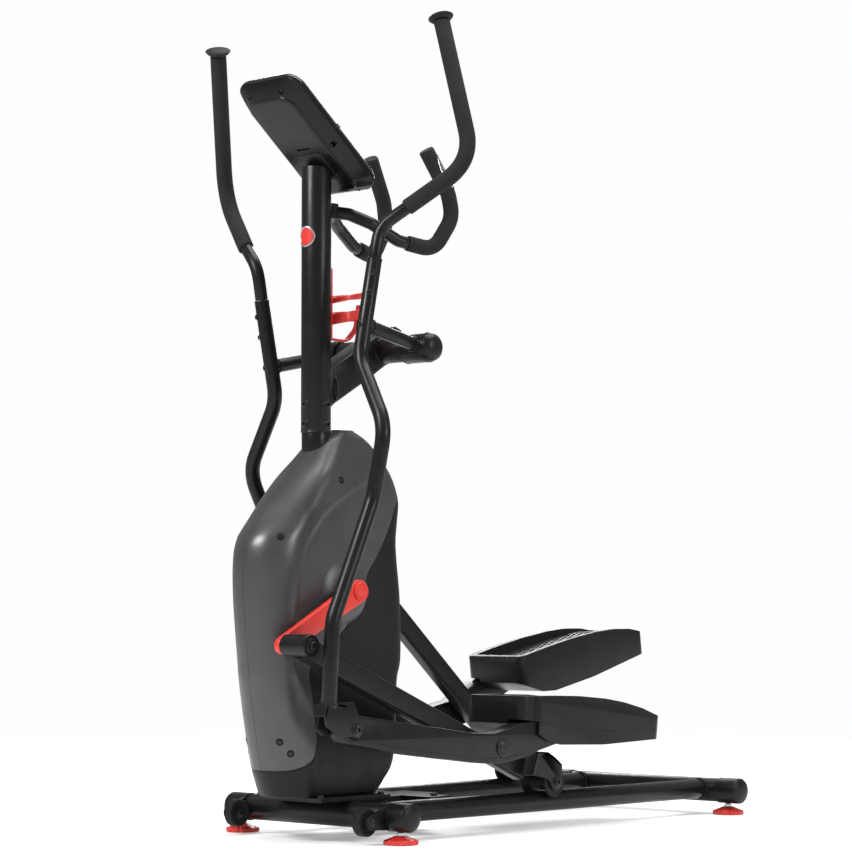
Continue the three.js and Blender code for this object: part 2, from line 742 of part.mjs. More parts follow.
function beltOutline(extra) {
  const large = PULLEY.radius + GAP + extra;
  const small = FLYWHEEL.driven + GAP + extra;
  const dy = FLYWHEEL.y - AXLE.y;
  const dz = FLYWHEEL.z - AXLE.z;
  const heading = THREE.MathUtils.radToDeg(Math.atan2(dz, dy));
  const lean = THREE.MathUtils.radToDeg(Math.acos((large - small) / Math.hypot(dy, dz)));
  return [
    ...arc([AXLE.y, AXLE.z], large, heading + lean, heading + 360 - lean, 22),
    ...arc([FLYWHEEL.y, FLYWHEEL.z], small, heading - lean, heading + lean, 6),
  ];
}
const belt = cut(
  prismX(beltOutline(BELT_THICKNESS), PULLEY.inner + 1, PULLEY.outer - 1),
  prismX(beltOutline(0.8), PULLEY.inner, PULLEY.outer),
);
add("drive_belt", belt, "rubber");

// Brake: a hinged arm that carries magnets round the flywheel's edge.
const BRAKE = { inner: FLYWHEEL.radius + 3, outer: FLYWHEEL.radius + 9 };
const brakeArc = [
  ...arc([FLYWHEEL.y, FLYWHEEL.z], BRAKE.outer, 216, 275, 6),
  ...arc([FLYWHEEL.y, FLYWHEEL.z], BRAKE.inner, 275, 216, 6),
];
const acrossBrake = (x0, x1, radius) =>
  rod([x0, BRAKE_PIVOT.y, BRAKE_PIVOT.z], [x1, BRAKE_PIVOT.y, BRAKE_PIVOT.z], radius);
const magnetArm = join(prismX(brakeArc, -50, -26), acrossBrake(-50, -26, 8));
add("magnet_arm", cut(magnetArm, acrossBrake(-60, 0, holeRadius(4))), "steel");

// ---------------------------------------------------------------- cranks
const crankPlate = prismX(strap([0, 0], 22, [CRANK_RADIUS, 0], 17), CRANK_INNER, CRANK_OUTER);
const crankBoss = rod([CRANK_OUTER - 1, 0, 0], [CRANK_OUTER + 5, 0, 0], 18, FINE);
const crankPinHole = rod(
  [CRANK_INNER - 5, CRANK_RADIUS, 0],
  [CRANK_OUTER + 5, CRANK_RADIUS, 0],
  holeRadius(7),
);
addPosed("crank_arm", cut(join(crankPlate, crankBoss), crankPinHole), "red", onCrank);

// ---------------------------------------------------------------- roller arms and rollers
const armEnd = ROLLER_ARM_LENGTH - 66;
const armTube = box([ROLLER_ARM.inner, ROLLER_ARM.outer], [8, armEnd], [-ROLLER_ARM.half, ROLLER_ARM.half]);
const housing = rod([HOUSING.inner, 0, 0], [HOUSING.outer, 0, 0], HOUSING.radius, FINE);
const housingBolt = bolt([HOUSING.outer - 1, 0, 0], [HOUSING.outer + 5, 0, 0], 10);
const crankPin = rod([CRANK_INNER - 4, 0, 0], [HOUSING.inner + 1, 0, 0], 7);
const acrossPivot = (x0, x1, radius) => rod([x0, PEDAL_PIVOT_ALONG, 0], [x1, PEDAL_PIVOT_ALONG, 0], radius);
const pivotBoss = acrossPivot(ROLLER_ARM.outer - 1, PEDAL_ARM.inner - GAP, 16);
const pivotPin = acrossPivot(ROLLER_ARM.outer, PEDAL_ARM.outer + 4, 8);
const pivotHead = acrossPivot(PEDAL_ARM.outer + GAP, PEDAL_ARM.outer + 4, 13);
const hubY = ROLLER_ARM_LENGTH;
const forkOutline = [
  [hubY - 74, -12],
  [hubY - 74, 34],
  [hubY - 46, 46],
  [hubY + 6, 38],
  ...arc([hubY, 0], 17, 30, -150, 6),
  [hubY - 30, -4],
];
const FORK_INNER = 121;
const FORK_OUTER = 189;
const FORK_PLATE = 4;
const forkWeb = prismX(
  [
    [hubY - 74, -12],
    [hubY - 74, 34],
    [hubY - 46, 46],
    [hubY - 2, 39.5],
    [hubY - 3, 34.5],
    [hubY - 46, 39],
    [hubY - 68, 30],
    [hubY - 68, -12],
  ],
  FORK_INNER - FORK_PLATE,
  FORK_OUTER + FORK_PLATE,
);
const rollerPin = rod([FORK_INNER - FORK_PLATE - 4, hubY, 0], [FORK_OUTER + FORK_PLATE + 5, hubY, 0], 6);
const rollerPinHead = rod([FORK_OUTER + 1, hubY, 0], [FORK_OUTER + FORK_PLATE + 3, hubY, 0], 12);
const rollerArm = join(
  armTube,
  housing,
  housingBolt,
  crankPin,
  pivotBoss,
  pivotPin,
  pivotHead,
  prismX(forkOutline, FORK_INNER - FORK_PLATE, FORK_INNER),
  prismX(forkOutline, FORK_OUTER, FORK_OUTER + FORK_PLATE),
  forkWeb,
  rollerPin,
  rollerPinHead,
);
addPosed("roller_arm", rollerArm, "satinBlack", onPin);

const roller = turnedX(
  [
    [ROLLER.inner - ROLLER.flangeWidth, ROLLER.bore],
    [ROLLER.inner - ROLLER.flangeWidth, ROLLER.flange],
    [ROLLER.inner, ROLLER.flange - 1.5],
    [ROLLER.inner + 4, ROLLER.waist],
    [ROLLER.outer - 4, ROLLER.waist],
    [ROLLER.outer, ROLLER.flange - 1.5],
    [ROLLER.outer + ROLLER.flangeWidth, ROLLER.flange],
    [ROLLER.outer + ROLLER.flangeWidth, ROLLER.bore],
    [ROLLER.inner - ROLLER.flangeWidth, ROLLER.bore],
  ],
  0,
  0,
  16,
);
addPosed("roller", roller, "rubber", onHub);

// ---------------------------------------------------------------- pedal arms and pedals
const pedalArmOutline = [
  ...arc([-PEDAL_ARM_LENGTH, 0], PEDAL_ARM.half, 110, 250, 6),
  [-285, -34],
  [-173, -34.5],
  [-51, -34.5],
  [8, -29],
  [72, -13],
  [112, 4],
  [160, 20],
  [330, 41],
  [330, 64],
  [104, 62],
  [56, 52.5],
  [4, 35],
  [-28, 25.5],
  [-85, 22],
  [-285, 25],
];
const throughPedalArm = (y, radius, sides) =>
  rod([PEDAL_ARM.inner - 5, y, 0], [PEDAL_ARM.outer + 5, y, 0], radius, sides);
const pedalArm = cut(
  prismX(pedalArmOutline, PEDAL_ARM.inner, PEDAL_ARM.outer),
  throughPedalArm(0, holeRadius(8), ROUND),
  throughPedalArm(-PEDAL_ARM_LENGTH, LINK_EYE_RADIUS, FINE),
);
addPosed("pedal_arm", pedalArm, "satinBlack", onPedalPivot);

const PEDAL = { inner: 50, outer: 218, front: 56, rear: 486 };
const pedalSide = [
  [PEDAL.front, 52],
  [128, 24],
  [168, 20],
  [PEDAL.rear - 2, 58],
  [PEDAL.rear, 98],
  [476, 106],
  [436, 117],
  [380, 124],
  [320, 126],
  [235, 123],
  [150, 116],
  [PEDAL.front + 9, 107],
];
const pedalPlan = [
  ...arc([PEDAL.outer - 36, PEDAL.front + 26], 24, -90, 0, 4),
  [PEDAL.outer - 11, PEDAL.front + 34],
  [PEDAL.outer, PEDAL.front + 44],
  ...arc([PEDAL.outer - 22, PEDAL.rear - 22], 22, 0, 90, 4),
  ...arc([PEDAL.inner + 22, PEDAL.rear - 22], 22, 90, 180, 4),
  ...arc([PEDAL.inner + 28, PEDAL.front + 28], 28, 180, 270, 4),
];
const dishSide = [
  [PEDAL.front + 22, 88],
  [130, 92],
  [300, 107],
  [400, 112],
  [440, 109],
  [PEDAL.rear - 16, 102],
  [PEDAL.rear - 8, 160],
  [PEDAL.front + 14, 160],
];
const dishX = [PEDAL.inner + 11, PEDAL.outer - 27];
const dishY = [PEDAL.front + 12, PEDAL.rear - 12];
const dishPlan = prismZ(roundedBox(dishX, dishY, 24, 4), 0, 200);
const dish = common(prismX(dishSide, PEDAL.inner, PEDAL.outer), dishPlan);
const outerLean = prismX([[0, 0], [PEDAL.rear + 20, 0], [PEDAL.rear + 20, 60], [0, 60]], 0, 40)
  .rotateY(radians(-36))
  .translate(PEDAL.outer, 0, 98);
const ARM_CLEAR = 0.4;
const armSlot = prismX(
  [
    [40, -40],
    [340, -40],
    [330 + ARM_CLEAR, 41],
    [330 + ARM_CLEAR, 64 + ARM_CLEAR],
    [104, 62 + ARM_CLEAR],
    [40, 47 + ARM_CLEAR],
  ],
  PEDAL.inner + 118,
  PEDAL.outer - 6,
);
const pedalBody = common(prismX(pedalSide, PEDAL.inner, PEDAL.outer), prismZ(pedalPlan, 0, 200));
const toeNotch = prismX([[40, -40], [98, -40], [98, 60], [40, 60]], PEDAL.inner + 118, PEDAL.outer + 5);
addPosed("pedal", cut(pedalBody, dish, outerLean, armSlot, toeNotch), "pedal", onPedalPivot);

// ---------------------------------------------------------------- swing arms
// Drawn with the pivot at the origin, local y rearward across the arm and local z up the arm.
const SLEEVE_TOP = 133;
const STRAIGHT = { x: 129, y: -164 };
const lowerTube = pipe(
  [
    [STRAIGHT.x, STRAIGHT.y, SLEEVE_TOP],
    [128, STRAIGHT.y, -67],
    [227, -170, -205],
    [203, -150, -340],
    [203, -209, -583],
    [203, -186, -742],
  ],
  14.5,
  90,
  10,
  3,
);
const lever = rod([STRAIGHT.x, STRAIGHT.y, 0], [STRAIGHT.x, -10, 0], 13.5);
const leverBolt = bolt([STRAIGHT.x, STRAIGHT.y - 18, 0], [STRAIGHT.x, STRAIGHT.y, 0], 9);
const hubBore = holeRadius(8, FINE);
const swingHub = turnedX(
  [
    [88, hubBore],
    [88, 29],
    [150, 29],
    [160, 25],
    [168, 14],
    [168, 0],
    [152.5, 0],
    [152.5, hubBore],
    [88, hubBore],
  ],
  0,
  0,
);
const sleeveBolts = [61, 101].map((s) => bolt(
  [STRAIGHT.x, STRAIGHT.y, s],
  [STRAIGHT.x + 13, STRAIGHT.y - 13, s],
  5,
));
const linkEnd = arc([LINK_PIN.n, LINK_PIN.s], 15, 30, -110, 6);
const outerCheek = [
  [-204, -737],
  [-137, -719],
  [-106, -756],
  ...linkEnd,
  [-160, -788],
  [-196, -776],
  [-205, -757],
];
const innerCheek = [[-176, -730], [-137, -719], [-106, -756], ...linkEnd, [-160, -788], [-176, -780]];
const CLEVIS = { inner: 171.5, outer: 210.5, plate: 5 };
const clevisSpan = [CLEVIS.inner - CLEVIS.plate, CLEVIS.outer + CLEVIS.plate];
const linkBolt = bolt(
  [clevisSpan[0] - 5, LINK_PIN.n, LINK_PIN.s],
  [clevisSpan[1] + 6, LINK_PIN.n, LINK_PIN.s],
  LINK_BOLT_RADIUS,
);
const clevis = join(
  prismX(innerCheek, clevisSpan[0], CLEVIS.inner),
  prismX(outerCheek, CLEVIS.outer, clevisSpan[1]),
  box([182, clevisSpan[1]], [-204, -199], [-758, -738]),
  box(clevisSpan, [-176, -152], [-735, -729]),
  linkBolt,
);
const lowerArm = cut(join(lowerTube, lever), rod([80, 0, 0], [150, 0, 0], 20));
addPosed("swing_arm", join(lowerArm, swingHub, leverBolt, ...sleeveBolts, clevis), "satinBlack", onSwing);

const GRIP_START = [172, -144, 235];
const GRIP_BEND = [275, -84, 340];
const GRIP_TOP = [186, -133, 622];
const upperTube = pipe(
  [
    [STRAIGHT.x, STRAIGHT.y, SLEEVE_TOP + GAP],
    [STRAIGHT.x, STRAIGHT.y + 1, 196],
    GRIP_START,
  ],
  12.5,
  60,
  10,
  3,
);
addPosed("upper_handle", upperTube, "satinBlack", onSwing);

const lerp = (a, b, t) => a.map((value, i) => value + (b[i] - value) * t);
const gripCorners = [lerp(GRIP_START, GRIP_BEND, 0.012), GRIP_BEND, GRIP_TOP];
addPosed("handle_grip", pipe(gripCorners, 16, 95, ROUND, 5), "foam", onSwing);

const capSpan = Math.hypot(...GRIP_TOP.map((value, i) => value - GRIP_BEND[i]));
const capAt = (distance) => lerp(GRIP_BEND, GRIP_TOP, 1 + distance / capSpan);
const gripCap = join(
  rod(capAt(GAP), capAt(7), 19, FINE, 25),
  rod(capAt(7), capAt(11), 25, FINE, 21),
  rod(capAt(11), capAt(14), 21, FINE, 10),
);
addPosed("grip_cap", gripCap, "rubber", onSwing);

export default model;
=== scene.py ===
import json
import math

import bmesh
import bpy
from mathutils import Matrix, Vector


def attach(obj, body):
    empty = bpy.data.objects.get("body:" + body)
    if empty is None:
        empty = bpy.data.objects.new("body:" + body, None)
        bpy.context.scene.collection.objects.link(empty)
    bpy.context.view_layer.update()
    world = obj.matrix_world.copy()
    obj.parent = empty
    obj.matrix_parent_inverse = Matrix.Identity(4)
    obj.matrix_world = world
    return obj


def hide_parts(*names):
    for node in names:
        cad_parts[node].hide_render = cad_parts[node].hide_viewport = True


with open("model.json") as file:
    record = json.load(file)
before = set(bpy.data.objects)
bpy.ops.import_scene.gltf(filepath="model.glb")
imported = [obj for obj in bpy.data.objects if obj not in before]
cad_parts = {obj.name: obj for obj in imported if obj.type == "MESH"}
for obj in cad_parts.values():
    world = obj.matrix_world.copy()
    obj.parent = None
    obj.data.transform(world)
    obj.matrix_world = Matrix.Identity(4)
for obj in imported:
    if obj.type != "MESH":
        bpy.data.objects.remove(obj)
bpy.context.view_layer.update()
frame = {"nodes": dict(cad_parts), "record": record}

MM = 0.001
MAST_Y = -437.64
SIDES = (("left", 1), ("right", -1))

# Places that several pieces share. A pair is y and z in the side view, unless it says x and y.
MAST_RADIUS = 29
FRONT_BAR = (13, 50)
REAR_BAR = (1020, 50)
BAR_RADIUS = 25
WHEEL = (-42, 42)
CRANK_AXLE = (9, 472)
CRANK_REACH = 222
PEDAL_REACH = 536  # along the roller arm, from the crank pin to the pedal pivot
ROLLER_REACH = 733.5  # and to the roller
ROLLER_HEIGHT = 92.6
EYE_Y = -415.4  # the link eye, from the pedal pivot
CROSS_TUBE = (164, 946.5)
LINK = (-118.8, -768.8)  # the link bolt, from the cross tube
SLEEVE = (129, -164)  # x and y of the upright that the upper handle plugs into, from the cross tube
REST = (0.0, 0.0, 0.0)


# ---------------------------------------- materials
def node(tree, kind, **values):
    made = tree.nodes.new(kind)
    for key, value in values.items():
        setattr(made, key, value)
    return made


def noise(tree, coordinates, scale, detail=4.0):
    made = node(tree, "ShaderNodeTexNoise")
    made.inputs["Scale"].default_value = scale
    made.inputs["Detail"].default_value = detail
    made.inputs["Roughness"].default_value = 0.55
    tree.links.new(coordinates, made.inputs["Vector"])
    return made.outputs["Fac"]


def remap(tree, value, low, high, to_low, to_high):
    made = node(tree, "ShaderNodeMapRange")
    for name, number in zip(("From Min", "From Max", "To Min", "To Max"), (low, high, to_low, to_high)):
        made.inputs[name].default_value = number
    tree.links.new(value, made.inputs["Value"])
    return made.outputs["Result"]


def mixed(tree, factor, first, second):
    made = node(tree, "ShaderNodeMix", data_type="RGBA")
    tree.links.new(factor, made.inputs[0])
    for index, colour in ((6, first), (7, second)):
        if isinstance(colour, tuple):
            made.inputs[index].default_value = (*colour, 1)
        else:
            tree.links.new(colour, made.inputs[index])
    return made.outputs[2]


def multiply(tree, first, second):
    made = node(tree, "ShaderNodeMath", operation="MULTIPLY")
    for index, value in enumerate((first, second)):
        if isinstance(value, float):
            made.inputs[index].default_value = value
        else:
            tree.links.new(value, made.inputs[index])
    return made.outputs[0]


def bump(tree, height, strength, distance, below=None):
    made = node(tree, "ShaderNodeBump")
    made.inputs["Strength"].default_value = strength
    made.inputs["Distance"].default_value = distance
    tree.links.new(height, made.inputs["Height"])
    if below is not None:
        tree.links.new(below, made.inputs["Normal"])
    return made.outputs["Normal"]


DUST_COLOUR = (0.42, 0.40, 0.37)


def finish(name, colour, rough, metal=0.0, grain=900.0, depth=0.00012, spread=0.25, coat=0.0, wear=0.0,
           dust=0.05, cells=0.0, streaks=0.0):
    """One procedural finish: mottled colour, uneven roughness, grain, worn edges and a little dust on top."""
    made = bpy.data.materials.new(name)
    made.use_nodes = True
    tree = made.node_tree
    shader = tree.nodes["Principled BSDF"]
    place = node(tree, "ShaderNodeTexCoord").outputs["Object"]
    geometry = node(tree, "ShaderNodeNewGeometry")
    dark = tuple(c * (1 - spread) for c in colour)
    light = tuple(min(1.0, c * (1 + spread)) for c in colour)
    cloud = remap(tree, noise(tree, place, 7.0, 6.0), 0.3, 0.7, 0.0, 1.0)
    base = mixed(tree, cloud, dark, light)
    speck = remap(tree, noise(tree, place, grain * 0.6, 2.0), 0.42, 0.7, 0.0, 0.35)
    base = mixed(tree, speck, base, light)
    if wear:
        edge = remap(tree, geometry.outputs["Pointiness"], 0.53, 0.62, 0.0, 1.0)
        patchy = remap(tree, noise(tree, place, 60.0, 5.0), 0.45, 0.7, 0.0, wear)
        base = mixed(tree, multiply(tree, edge, patchy), base,
                     tuple(min(1.0, c * 1.6 + 0.10) for c in colour))
    facing = node(tree, "ShaderNodeSeparateXYZ")
    tree.links.new(geometry.outputs["Normal"], facing.inputs[0])
    upward = remap(tree, facing.outputs["Z"], 0.35, 1.0, 0.0, 1.0)
    powder = multiply(tree, upward, remap(tree, noise(tree, place, 35.0, 6.0), 0.4, 0.8, 0.0, dust * 2))
    base = mixed(tree, powder, base, DUST_COLOUR)
    tree.links.new(base, shader.inputs["Base Color"])
    smear = noise(tree, place, 22.0, 5.0)
    uneven = remap(tree, smear, 0.3, 0.7, max(0.03, rough - 0.07), min(1.0, rough + 0.07))
    tree.links.new(uneven, shader.inputs["Roughness"])
    shader.inputs["Metallic"].default_value = metal
    shader.inputs["Coat Weight"].default_value = coat
    shader.inputs["Specular IOR Level"].default_value = 0.45 if max(colour) > 0.05 or metal else 0.22
    normal = bump(tree, noise(tree, place, grain, 3.0), 0.35, depth)
    if cells:
        pores = node(tree, "ShaderNodeTexVoronoi")
        pores.inputs["Scale"].default_value = cells
        tree.links.new(place, pores.inputs["Vector"])
        normal = bump(tree, pores.outputs["Distance"], 0.5, depth * 2, normal)
    if streaks:
        stretch = node(tree, "ShaderNodeMapping")
        stretch.inputs["Scale"].default_value = (1, 0.04, 1)
        tree.links.new(place, stretch.inputs["Vector"])
        normal = bump(tree, noise(tree, stretch.outputs[0], streaks, 2.0), 0.25, depth, normal)
    tree.links.new(normal, shader.inputs["Normal"])
    return made


MATERIAL = {
    "black_frame": finish("powder_black", (0.0065, 0.0066, 0.0072), 0.33, grain=1500, depth=0.00006,
                          spread=0.15, dust=0.006),
    "shell_grey": finish("metallic_grey", (0.070, 0.070, 0.072), 0.35, 0.5, grain=1900, depth=0.00007,
                         spread=0.06, dust=0.01),
    "cover_black": finish("cover_black", (0.0055, 0.0056, 0.0062), 0.4, dust=0.006, grain=1300, depth=0.0001,
                          cells=1100, spread=0.15),
    "red_plastic": finish("red_plastic", (0.56, 0.026, 0.018), 0.38, grain=900, spread=0.08, dust=0.01),
    "red_metal": finish("red_paint", (0.60, 0.030, 0.020), 0.36, grain=1200, depth=0.00005, spread=0.06,
                        wear=0.25, dust=0.01),
    "foam": finish("foam", (0.014, 0.0145, 0.016), 0.85, grain=520, depth=0.0005, cells=620, spread=0.2,
                   dust=0.012),
    "pedal_black": finish("pedal_black", (0.0065, 0.0068, 0.0080), 0.4, grain=1400, depth=0.0001, cells=1300,
                          spread=0.12,
                          dust=0.006),
    "rubber": finish("rubber", (0.009, 0.009, 0.0095), 0.6, grain=900, depth=0.00012, spread=0.25, dust=0.02),
    "chrome": finish("chrome", (0.72, 0.73, 0.75), 0.14, 1.0, grain=400, depth=0.00002, spread=0.04,
                     dust=0.01),
    "steel": finish("steel", (0.46, 0.47, 0.49), 0.3, 1.0, grain=500, depth=0.00005, spread=0.1, streaks=900,
                    dust=0.02),
    "cast_iron": finish("cast_iron", (0.07, 0.07, 0.075), 0.6, 0.8, grain=260, depth=0.0006),
    "screen": finish("screen", (0.011, 0.016, 0.015), 0.12, grain=300, depth=0.00001, coat=0.6, dust=0.02),
}
BOLT = finish("black_bolt", (0.020, 0.020, 0.022), 0.32, 0.6, grain=900, depth=0.00004, wear=0.5)
LCD = finish("lcd", (0.085, 0.105, 0.085), 0.3, grain=2500, depth=0.00001, spread=0.05, dust=0.0)
GLOSS = finish("gloss_black", (0.0042, 0.0042, 0.0046), 0.24, dust=0.003, grain=1300, depth=0.00002,
               spread=0.12)
# Painted shade: a near-black matt finish put in seams, screw pits and behind the shroud's gaps, where there
# is only shade.
SHADOW = finish("recess", (0.004, 0.004, 0.004), 0.9, grain=500)


# ---------------------------------------- shapes, each a pair of corners and faces
def arc(centre, radius, start, end, steps):
    turn = [math.radians(start + (end - start) * i / steps) for i in range(steps + 1)]
    return [(centre[0] + radius * math.cos(a), centre[1] + radius * math.sin(a)) for a in turn]


def around(sides):
    return [2 * math.pi * k / sides for k in range(sides)]


def rounded(x, y, corner, steps=8):
    """The outline of a rounded rectangle, from its two spans."""
    return (arc((x[1] - corner, y[0] + corner), corner, -90, 0, steps)
            + arc((x[1] - corner, y[1] - corner), corner, 0, 90, steps)
            + arc((x[0] + corner, y[1] - corner), corner, 90, 180, steps)
            + arc((x[0] + corner, y[0] + corner), corner, 180, 270, steps))


def strap(start, r0, end, r1):
    """The outline of a belt round two circles."""
    heading = math.degrees(math.atan2(end[1] - start[1], end[0] - start[0]))
    return arc(start, r0, heading + 90, heading + 270, 24) + arc(end, r1, heading - 90, heading + 90, 24)


def smooth_line(points, steps=6):
    """A Catmull-Rom line through points."""
    out = []
    for i in range(len(points) - 1):
        quad = [Vector(points[max(0, min(len(points) - 1, k))]) for k in (i - 1, i, i + 1, i + 2)]
        for j in range(steps):
            t = j / steps
            out.append(0.5 * ((2 * quad[1]) + (quad[2] - quad[0]) * t
                              + (2 * quad[0] - 5 * quad[1] + 4 * quad[2] - quad[3]) * t ** 2
                              + (3 * quad[1] - quad[0] - 3 * quad[2] + quad[3]) * t ** 3))
    return out + [Vector(points[-1])]


def route(corners, bend, steps=12):
    """A path through corners, each rounded to about the radius bend."""
    path = [Vector(c) for c in corners]
    out = [path[0]]
    for i in range(1, len(path) - 1):
        back, ahead = path[i - 1] - path[i], path[i + 1] - path[i]
        reach = min(0.48 * min(back.length, ahead.length), bend / math.tan(back.angle(ahead) / 2))
        a, b = path[i] + back.normalized() * reach, path[i] + ahead.normalized() * reach
        out += [a * (1 - t) ** 2 + path[i] * 2 * t * (1 - t) + b * t * t
                for t in (k / steps for k in range(steps + 1))]
    return out + [path[-1]]


def skin(rings, closed=False):
    """Joins rings of equal length, with a flat face over each end."""
    n = len(rings[0])
    faces = []
    last = len(rings) if closed else len(rings) - 1
    for k in range(last):
        a, b = k * n, ((k + 1) % len(rings)) * n
        faces += [(a + i, a + (i + 1) % n, b + (i + 1) % n, b + i) for i in range(n)]
    if not closed:
        faces += [tuple(reversed(range(n))), tuple(range((len(rings) - 1) * n, len(rings) * n))]
    return [Vector(p) for ring in rings for p in ring], faces


def sweep(path, radius, sides=40, soft=1.5):
    """A round bar along path, its ends rounded by soft."""
    first, last = (path[1] - path[0]).normalized(), (path[-1] - path[-2]).normalized()
    points = [path[0], path[0] + first * soft * 0.35, path[0] + first * soft] + list(path[1:-1])
    points += [path[-1] - last * soft, path[-1] - last * soft * 0.35, path[-1]]
    end = [radius - soft, radius - soft * 0.25, radius]
    sizes = end + [radius] * (len(path) - 2) + end[::-1]
    side = first.orthogonal().normalized()
    rings = []
    for i, point in enumerate(points):
        ahead = (points[min(i + 1, len(points) - 1)] - points[max(i - 1, 0)]).normalized()
        side = (side - ahead * side.dot(ahead)).normalized()
        across = ahead.cross(side)
        rings.append([point + (side * math.cos(a) + across * math.sin(a)) * sizes[i]
                      for a in around(sides)])
    return skin(rings)


def rod(start, end, radius, sides=40, soft=0.8):
    a, b = Vector(start), Vector(end)
    return sweep([a + (b - a) * t for t in (0, 0.5, 1)], radius, sides, soft)


def ring_at(centre, axis, radius, wire, lumps=0.0):
    """A small bead round a tube: centre, the tube's direction, the bead's radius and its thickness."""
    axis = Vector(axis).normalized()
    u = axis.orthogonal().normalized()
    v = axis.cross(u)
    rings = []
    for a in around(56):
        out = u * math.cos(a) + v * math.sin(a)
        size = wire * (1 + lumps * math.sin(a * 17))
        hub = Vector(centre) + out * radius
        rings.append([hub + (out * math.cos(b) + axis * math.sin(b)) * size
                      for b in (math.pi * j / 5 for j in range(10))])
    return skin(rings, closed=True)


def turned(profile, y=0.0, z=0.0, sides=64, wave=None):
    """A profile of (x, radius) turned about the line at y, z along X."""
    rings = []
    for x, r in profile:
        rings.append([(x, y + max(r, 0.01) * math.cos(a) * (wave(a, x) if wave else 1),
                       z + max(r, 0.01) * math.sin(a) * (wave(a, x) if wave else 1))
                      for a in around(sides)])
    closed = profile[0] == profile[-1]
    return skin(rings[:-1] if closed else rings, closed)


def mirrored(profile, middle):
    """Adds the other half of a profile that is the same on both sides of its middle, and closes it."""
    return profile + [(2 * middle - x, radius) for x, radius in reversed(profile)] + [profile[0]]


def prism(outline, x0, x1):
    return skin([[(x, y, z) for y, z in outline] for x in (x0, x1)])


def stacked(levels):
    """A solid through outlines in x and y, each with its height."""
    return skin([[(x, y, z) for x, y in outline] for outline, z in levels])


def prism_z(outline, z0, z1):
    return stacked([(outline, z0), (outline, z1)])


def box(x, y, z):
    return prism([(y[0], z[0]), (y[1], z[0]), (y[1], z[1]), (y[0], z[1])], x[0], x[1])


def together(*shapes):
    corners, faces = [], []
    for v, f in shapes:
        faces += [tuple(i + len(corners) for i in face) for face in f]
        corners += [Vector(p) for p in v]
    return corners, faces


def turned_to(shape, start, direction):
    """Moves a shape drawn along X so that it starts at a point and runs in a direction."""
    turn = Vector((1, 0, 0)).rotation_difference(Vector(direction).normalized())
    return [turn @ Vector(p) + Vector(start) for p in shape[0]], shape[1]


def screw(start, direction, radius, height, drive=True):
    """A socket screw head on a washer."""
    washer = turned([(0, 0), (0, radius * 1.45), (0.9, radius * 1.45), (1.2, radius * 1.35), (1.2, 0)],
                    sides=32)
    hollow = radius * 0.5 if drive else 0.0
    head = turned([(1, 0), (1, radius), (height * 0.8, radius), (height, radius * 0.85), (height, hollow),
                   (height * 0.55, hollow * 0.95), (height * 0.55, 0)], sides=24)
    return turned_to(together(washer, head), start, direction)


# ---------------------------------------- turning shapes into placed objects
SAME_POINT = 2e-6


def link_side(crank_degrees, swing_tilt):
    """Where each moving body's own frame is at rest on one side: its turn in the side view, then y and z."""
    crank, tilt = math.radians(crank_degrees), math.radians(swing_tilt)
    pin = (CRANK_AXLE[0] + CRANK_REACH * math.cos(crank), CRANK_AXLE[1] + CRANK_REACH * math.sin(crank))
    slope = math.asin((pin[1] - ROLLER_HEIGHT) / ROLLER_REACH)

    def along(reach):
        return pin[0] + reach * math.cos(slope), pin[1] - reach * math.sin(slope)

    link = (CROSS_TUBE[0] + LINK[1] * math.sin(tilt) + LINK[0] * math.cos(tilt),
            CROSS_TUBE[1] + LINK[1] * math.cos(tilt) - LINK[0] * math.sin(tilt))
    pivot = along(PEDAL_REACH)
    pitch = math.atan2(pivot[1] - link[1], pivot[0] - link[0])
    return {"crank": (crank, *CRANK_AXLE), "pin": (-slope, *pin), "hub": (-slope, *along(ROLLER_REACH)),
            "pedal": (pitch, *pivot), "swing": (-tilt, *CROSS_TUBE), "rest": REST}


POSE = {"left": link_side(206.9, 11.507), "right": link_side(26.9, -11.455)}


def applied(obj):
    """Puts the result of an object's modifiers into its mesh."""
    made = bpy.data.meshes.new_from_object(obj.evaluated_get(bpy.context.evaluated_depsgraph_get()))
    obj.modifiers.clear()
    obj.data = made


def build(name, shape, side=1, pose=REST, bevel=0.0, angle=35):
    """Makes an object from a shape drawn in a body's own frame, mirrored where side is -1."""
    turn, dy, dz = pose
    corners = []
    for x, y, z in shape[0]:
        corners.append((x * side * MM, (y * math.cos(turn) - z * math.sin(turn) + dy + MAST_Y) * MM,
                        (y * math.sin(turn) + z * math.cos(turn) + dz) * MM))
    data = bpy.data.meshes.new(name)
    data.from_pydata(corners, [], shape[1])
    work = bmesh.new()
    work.from_mesh(data)
    bmesh.ops.remove_doubles(work, verts=work.verts, dist=SAME_POINT)
    bmesh.ops.recalc_face_normals(work, faces=work.faces)
    work.to_mesh(data)
    work.free()
    obj = bpy.data.objects.new(name, data)
    bpy.context.scene.collection.objects.link(obj)
    if bevel:
        softened(obj, bevel)
    shaded(obj, angle)
    return obj


def softened(obj, width, segments=3, angle=32):
    change = obj.modifiers.new("edge", "BEVEL")
    change.width = width * MM
    change.segments = segments
    change.limit_method = "ANGLE"
    change.angle_limit = math.radians(angle)
    applied(obj)


def shaded(obj, angle=35):
    obj.data.polygons.foreach_set("use_smooth", [True] * len(obj.data.polygons))
    obj.data.set_sharp_from_angle(angle=math.radians(angle))


def carved_by(obj, tool, operation="DIFFERENCE"):
    change = obj.modifiers.new("carve", "BOOLEAN")
    change.operation = operation
    change.solver = "EXACT"
    change.object = tool
    applied(obj)
    bpy.data.objects.remove(tool)


def carved(obj, shape, side=1, pose=REST, operation="DIFFERENCE"):
    """Cuts a shape out of an object, or keeps only what is inside it."""
    carved_by(obj, build("tool", shape, side, pose), operation)


